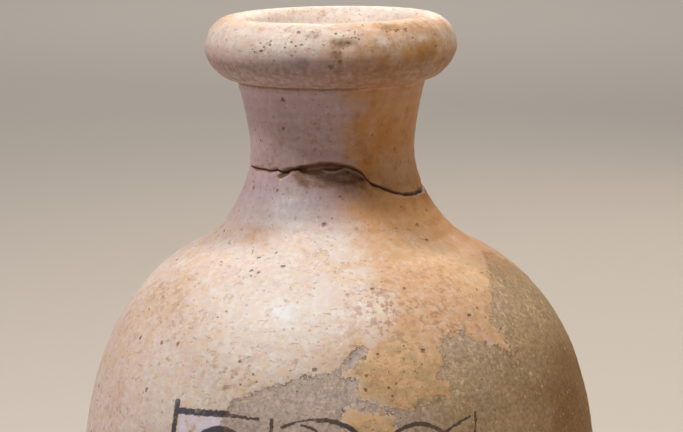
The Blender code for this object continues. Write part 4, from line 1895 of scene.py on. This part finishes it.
@dataclass
class JarClay:
    """The jar's one material."""

    outline: Outline
    coat: CoatFinish = field(default_factory=CoatFinish)
    ware: WareFinish = field(default_factory=WareFinish)
    ink: InkFinish = field(default_factory=InkFinish)
    surface: Surface = field(default_factory=Surface)

    def unrolled_place(self, azimuth: float, height: float) -> tuple:
        """Place on the unrolled map: azimuth times the panel's radius, and length up the wall.

        Args:
            azimuth: azimuth on the outer face.
            height: height on the outer face.

        Returns:
            The place, with a third coordinate of 0.
        """
        rows = Spacing().rows(self.outline, Joint().height)
        outer = rows.part == Part.OUTSIDE.value
        upright = float(np.interp(height, rows.place[outer, 1], rows.along[outer]))
        return (math.radians(azimuth) * PANEL.radius, upright, 0.0)

    def ink_mask(self, graph: Graph, unrolled: bpy.types.NodeSocket) -> tuple:
        """Mask of all painted marks, the strongest of them at each point, and of the panel's ground.

        Args:
            graph: the material's graph.
            unrolled: the unrolled map.

        Returns:
            The marks' mask and the ground's mask.
        """
        brush = brush_group()
        marks = []
        for stroke in PANEL.frame_lines + PANEL.first_row:
            ends = {"Start": self.unrolled_place(*stroke.start), "End": self.unrolled_place(*stroke.end)}
            marks += graph.group(brush, Place=unrolled, Bow=stroke.bow, Width=stroke.width, **ends)
        left, top, _ = self.unrolled_place(PANEL.left, PANEL.top)
        right, bottom, _ = self.unrolled_place(PANEL.right, PANEL.bottom)
        rows_top = self.unrolled_place(0.0, PANEL.rows_top)[1]
        fade = PANEL.fade
        x, y, _ = graph.parts("XYZ", unrolled)
        left_side = graph.step(x, left + 0.5 * fade, left + 1.5 * fade)
        right_side = graph.step(x, right - 2.0 * fade, right - 3.0 * fade)
        upright = graph.step(y, bottom, bottom + fade) * graph.step(y, top, top - fade)
        ground = left_side * right_side * upright
        below = ground * graph.step(y, rows_top, rows_top - fade)
        rows = stroke_row_group()
        cells = {"Place": unrolled, "Cell": PANEL.cell_width, "Row": PANEL.row_height}
        for seed, width in PANEL.row_strokes:
            marks.append(graph.group(rows, Seed=seed, Width=width, **cells)[0] * below)
        strongest = marks[0]
        for mark in marks[1:]:
            strongest = graph.math("MAXIMUM", strongest, mark)
        return strongest, ground

    def material(self) -> bpy.types.Material:
        """Build the material: coat and ware parted by a ragged edge, paint, stains, soil, painted shade and
        highlight, and bump.

        Returns:
            The finished material.
        """
        material = bpy.data.materials.new("coated_clay")
        material.use_nodes = True
        graph = Graph(material.node_tree)
        shader = material.node_tree.nodes["Principled BSDF"]
        place = graph.node("TexCoord").outputs["Object"]
        unrolled = graph.node("UVMap", uv_map="unrolled").outputs[0]
        edge = {"Distance": graph.layer(Layer.COAT_GAP), "Ragged": graph.layer(Layer.RAGGED)}
        bare, band = graph.group(ragged_group(), Place=place, **edge)
        coat_colour, pits = self.coat_colour(graph, place, unrolled)
        marks, ground = self.ink_mask(graph, unrolled)
        patchy = graph.step(graph.noise(place, self.ink.patchy), 0.34, 0.56)
        fresh = ground * (1.0 - graph.layer(Layer.OCHRE)).clamped() * patchy
        coat_colour = graph.mix(fresh * self.ink.ground_share, coat_colour, self.ink.ground)
        clay = graph.mix(bare, coat_colour, self.ware_colour(graph, place))
        clay = graph.wash(clay, place, self.coat.edge_line, mask=band)
        worn = graph.step(graph.noise(place, self.ink.worn), 0.30, 0.50)
        painted = marks * (worn * 0.42 + 0.52)
        clay = graph.mix(painted, clay, graph.mix(bare, self.ink.on_coat, self.ink.on_ware))
        graph.feed(shader.inputs["Base Color"], self.stained(graph, place, clay))
        graph.feed(shader.inputs["Roughness"], self.roughness(graph, place, bare, painted))
        graph.feed(shader.inputs["Normal"], self.bump(graph, place, bare, pits))
        shader.inputs["IOR"].default_value = self.surface.refraction
        return material

    def coat_colour(
        self, graph: Graph, place: bpy.types.NodeSocket, unrolled: bpy.types.NodeSocket
    ) -> tuple:
        """Colour of the coat, from broad clouds to fine specks, and the mask of its pits.

        Args:
            graph: the material's graph.
            place: the Object coordinates.
            unrolled: the unrolled map.

        Returns:
            The colour and the pits' mask.
        """
        coat = self.coat
        cloud = graph.noise(place, coat.cloud) - 0.5
        broad = graph.noise(place, coat.broad) - 0.5
        colour = graph.wash(coat.cream, place, coat.pale, cloud * 0.35)
        colour = graph.wash(colour, place, coat.tan, broad * -0.55 - cloud * 0.4)
        for wash in (coat.warm, coat.pink):
            colour = graph.wash(colour, place, wash)
        drawn = graph.stretched(place, coat.drawn)
        # The white veil lays pale streaks and the painted highlight.
        for where, veil in ((drawn, coat.mauve), (drawn, coat.white_and_highlight), (place, coat.peach)):
            colour = graph.veil(colour, where, veil)
        ochre = graph.wash(coat.ochre.colour, place, coat.deep_ochre)
        colour = graph.veil(colour, place, coat.ochre, ochre)
        colour = graph.wash(colour, graph.stretched(unrolled, coat.brushed, coat.brush_turn), coat.dashes)
        colour = graph.wash(colour, place, coat.rust, mask=graph.layer(Layer.SPOTTED))
        pitted = graph.layer(Layer.PITTED)
        group = speck_group()
        masks = []
        for spots in (coat.specks, coat.pits, coat.pricks):
            if spots is coat.pits:
                colour = graph.wash(colour, place, coat.chip, graph.layer(Layer.CHIPPED) * 0.20)
            share = pitted * spots.pitted_share + spots.share
            mask = graph.group(group, Place=place, Cells=spots.cells, Size=spots.size, Share=share)[0]
            colour = graph.mix(mask * spots.strength, colour, spots.colour)
            masks.append(mask)
        return colour, graph.math("MAXIMUM", *masks[1:])

    def ware_colour(self, graph: Graph, place: bpy.types.NodeSocket) -> bpy.types.NodeSocket:
        """Colour of the bare ware: grey to brown, salt-and-pepper, with pale crumbs of coat near edges.

        Args:
            graph: the material's graph.
            place: the Object coordinates.

        Returns:
            The colour.
        """
        ware = self.ware
        browned = graph.noise(place, ware.browning) * 0.5 - 0.25 + graph.layer(Layer.BROWNED)
        colour = graph.mix(graph.step(browned, 0.0, 0.5), ware.grey, ware.olive)
        colour = graph.mix(graph.step(browned, 0.5, 1.05), colour, ware.brown)
        salt = graph.step(graph.noise(place, ware.salt), 0.36, 0.64)
        colour = graph.mix(1.0, colour, graph.grey(salt * 0.44 + 0.76), "MULTIPLY")
        colour = graph.wash(colour, place, ware.dark)
        broad = graph.noise(place, ware.broad) * 0.5 + 0.75
        colour = graph.mix(1.0, colour, graph.grey(broad), "MULTIPLY")
        near = graph.step(graph.layer(Layer.COAT_GAP), 0.012, 0.001)
        return graph.wash(colour, place, ware.light, near * 0.05 + graph.layer(Layer.CHIPPED) * 0.10)

    def stained(self, graph: Graph, place: bpy.types.NodeSocket, colour: object) -> bpy.types.NodeSocket:
        """Lay the brown stain, the inside's colour, and the soil and painted shade over a colour.

        Args:
            graph: the material's graph.
            place: the Object coordinates.
            colour: the clean clay's colour.

        Returns:
            The stained colour.
        """
        ware = self.ware
        run = graph.noise(graph.stretched(place, ware.drawn), ware.stain_run)
        stain = (graph.layer(Layer.STAIN) * (run * 0.9 + 0.45)).clamped()
        colour = graph.mix(stain * 0.95, colour, ware.stain)
        colour = graph.wash(colour, place, ware.dark_stain, mask=stain)
        colour = graph.mix(graph.layer(Layer.INNER) * 0.9, colour, ware.inner)
        broken = graph.noise(place, ware.soil_and_shade_breakup) * 0.5 - 0.25
        # This layer holds soil in the joint and dents, and painted shade under the rim, in the groove and
        # below the hollow.
        soil = graph.layer(Layer.SOIL_AND_SHADE)
        soil = soil + broken * graph.step(soil, 0.0, 0.25)
        colour = graph.mix(graph.step(soil, 0.04, 0.42), colour, ware.olive_soil_and_shade)
        return graph.mix(graph.step(soil, 0.50, 0.95), colour, ware.soil)

    def roughness(self, graph: Graph, place: bpy.types.NodeSocket, bare: Signal, painted: Signal) -> Signal:
        """Roughness: satin coat, dull ware, duller with paint, soil and painted shade, and a little uneven.

        Args:
            graph: the material's graph.
            place: the Object coordinates.
            bare: mask of the bare ware.
            painted: strength of the paint.

        Returns:
            The roughness.
        """
        surface = self.surface
        base = bare * (self.ware.roughness - self.coat.roughness) + self.coat.roughness
        base = painted * self.ink.dullness + base
        dull = graph.layer(Layer.SOIL_AND_SHADE) * surface.soil_and_shade_dullness + base
        uneven = (graph.noise(place, surface.sheen) - 0.5) * surface.sheen_swing
        return (dull + uneven).clamped()

    def bump(
        self, graph: Graph, place: bpy.types.NodeSocket, bare: Signal, pits: Signal
    ) -> bpy.types.NodeSocket:
        """Bump: the coat's thickness at its edge, pits, and a fine grain, heights in metres.

        Args:
            graph: the material's graph.
            place: the Object coordinates.
            bare: mask of the bare ware.
            pits: mask of the pits.

        Returns:
            The normal.
        """
        surface = self.surface
        grain = graph.noise(place, surface.grain) * surface.grain_height
        waves = graph.noise(place, surface.waves) * surface.wave_height
        height = grain + waves - bare * self.coat.thickness - pits * surface.pit_depth
        return graph.named("Bump", {"Strength": 1.0, "Distance": 1.0, "Height": height}).outputs[0]


@dataclass
class Lamp:
    """A square soft light: where it hangs, where it aims, its side, power and colour."""

    name: str
    place: tuple
    aim: tuple
    side: float
    power: float
    colour: tuple

    def build(self) -> None:
        """Add the light to the scene."""
        data = bpy.data.lights.new(self.name, "AREA")
        data.size = self.side
        data.energy = self.power
        data.color = self.colour
        lamp = bpy.data.objects.new(self.name, data)
        way = Vector(self.aim) - Vector(self.place)
        turned = way.to_track_quat("-Z", "Y").to_matrix().to_4x4()
        lamp.matrix_world = Matrix.Translation(self.place) @ turned
        lamp.visible_camera = False
        bpy.context.scene.collection.objects.link(lamp)


@dataclass
class Studio:
    """The plain pale floor, the soft lights and the camera at the photograph's angle."""

    floor_radius: float = 14.0
    floor_corners: int = 96
    floor_roughness: float = 0.9
    floor_colour: tuple = linear(208, 200, 192)
    world_colour: tuple = linear(232, 222, 210)
    world_strength: float = 0.02
    aim: tuple = (0.0009, 0.0, 0.26915)
    distance: float = 1.100
    pitch: float = 9.7
    pixel_at_axis: float = 0.00045
    sensor: float = 36.0
    view_depth: float = 60.0
    lamps: tuple = (
        Lamp("left_key", (-0.80, -0.30, 1.75), (0.0, 0.0, 0.24), 0.20, 16.9, (1.0, 0.98, 0.95)),
        Lamp("right_key", (0.20, -0.30, 1.75), (0.0, 0.0, 0.24), 0.20, 10.8, (0.98, 1.0, 1.0)),
        Lamp("front_soft", (0.90, -0.50, 1.30), (0.0, 0.0, 0.26), 0.60, 2.2, (1.0, 0.76, 0.42)),
        Lamp("back_soft", (0.60, 1.50, 1.30), (0.0, 0.0, 0.22), 1.0, 8.8, (1.0, 0.84, 0.68)),
        Lamp("left_soft", (-1.60, 0.60, 0.50), (0.0, 0.0, 0.24), 1.0, 3.0, (1.0, 0.82, 0.90)),
        Lamp("right_soft", (1.60, 0.60, 0.50), (0.0, 0.0, 0.24), 1.0, 1.4, (1.0, 0.85, 0.35)),
        Lamp("floor_light", (0.0, 4.4, 3.2), (0.0, 3.4, 0.0), 3.0, 90.0, (1.0, 0.97, 0.93)),
    )

    def floor(self) -> None:
        """A round floor of one face, with a plain matt finish."""
        turn = np.linspace(0.0, 2.0 * np.pi, self.floor_corners, endpoint=False)
        ring = np.stack([np.cos(turn), np.sin(turn), 0.0 * turn], axis=-1) * self.floor_radius
        mesh = bpy.data.meshes.new("floor")
        mesh.from_pydata(ring.tolist(), [], [list(range(len(ring)))])
        material = bpy.data.materials.new("pale_floor")
        material.use_nodes = True
        shader = material.node_tree.nodes["Principled BSDF"]
        shader.inputs["Base Color"].default_value = self.floor_colour
        shader.inputs["Roughness"].default_value = self.floor_roughness
        mesh.materials.append(material)
        floor = bpy.data.objects.new("floor", mesh)
        bpy.context.scene.collection.objects.link(floor)

    def world(self) -> None:
        """An even pale surround."""
        world = bpy.data.worlds.new("surround")
        world.use_nodes = True
        shader = world.node_tree.nodes["Background"]
        shader.inputs["Color"].default_value = self.world_colour
        shader.inputs["Strength"].default_value = self.world_strength
        bpy.context.scene.world = world

    def camera(self) -> None:
        """Place the camera: its focal length follows from the size of a pixel at the jar's axis."""
        pitch = math.radians(self.pitch)
        back = Vector((0.0, -math.cos(pitch), math.sin(pitch)))
        data = bpy.data.cameras.new("camera")
        data.sensor_width = self.sensor
        data.lens = self.sensor * self.distance / (self.pixel_at_axis * PHOTO_WIDTH)
        data.clip_end = self.view_depth
        camera = bpy.data.objects.new("camera", data)
        camera.matrix_world = (
            Matrix.Translation(Vector(self.aim) + back * self.distance)
            @ Matrix.Rotation(math.radians(90.0) - pitch, 4, "X")
        )
        bpy.context.scene.collection.objects.link(camera)
        bpy.context.scene.camera = camera

    def build(self) -> None:
        """Set up floor, surround, lights and camera."""
        self.floor()
        self.world()
        for lamp in self.lamps:
            lamp.build()
            LOG.info("light %s: %.1f W", lamp.name, lamp.power)
        self.camera()
        bpy.context.scene.view_settings.view_transform = "Standard"


def main() -> None:
    """Build the jar and the studio."""
    logging.basicConfig(level=logging.INFO, format="%(name)s: %(message)s")
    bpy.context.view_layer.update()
    Jar().build()
    Studio().build()
    bpy.context.view_layer.update()


if __name__ == "__main__":
    main()
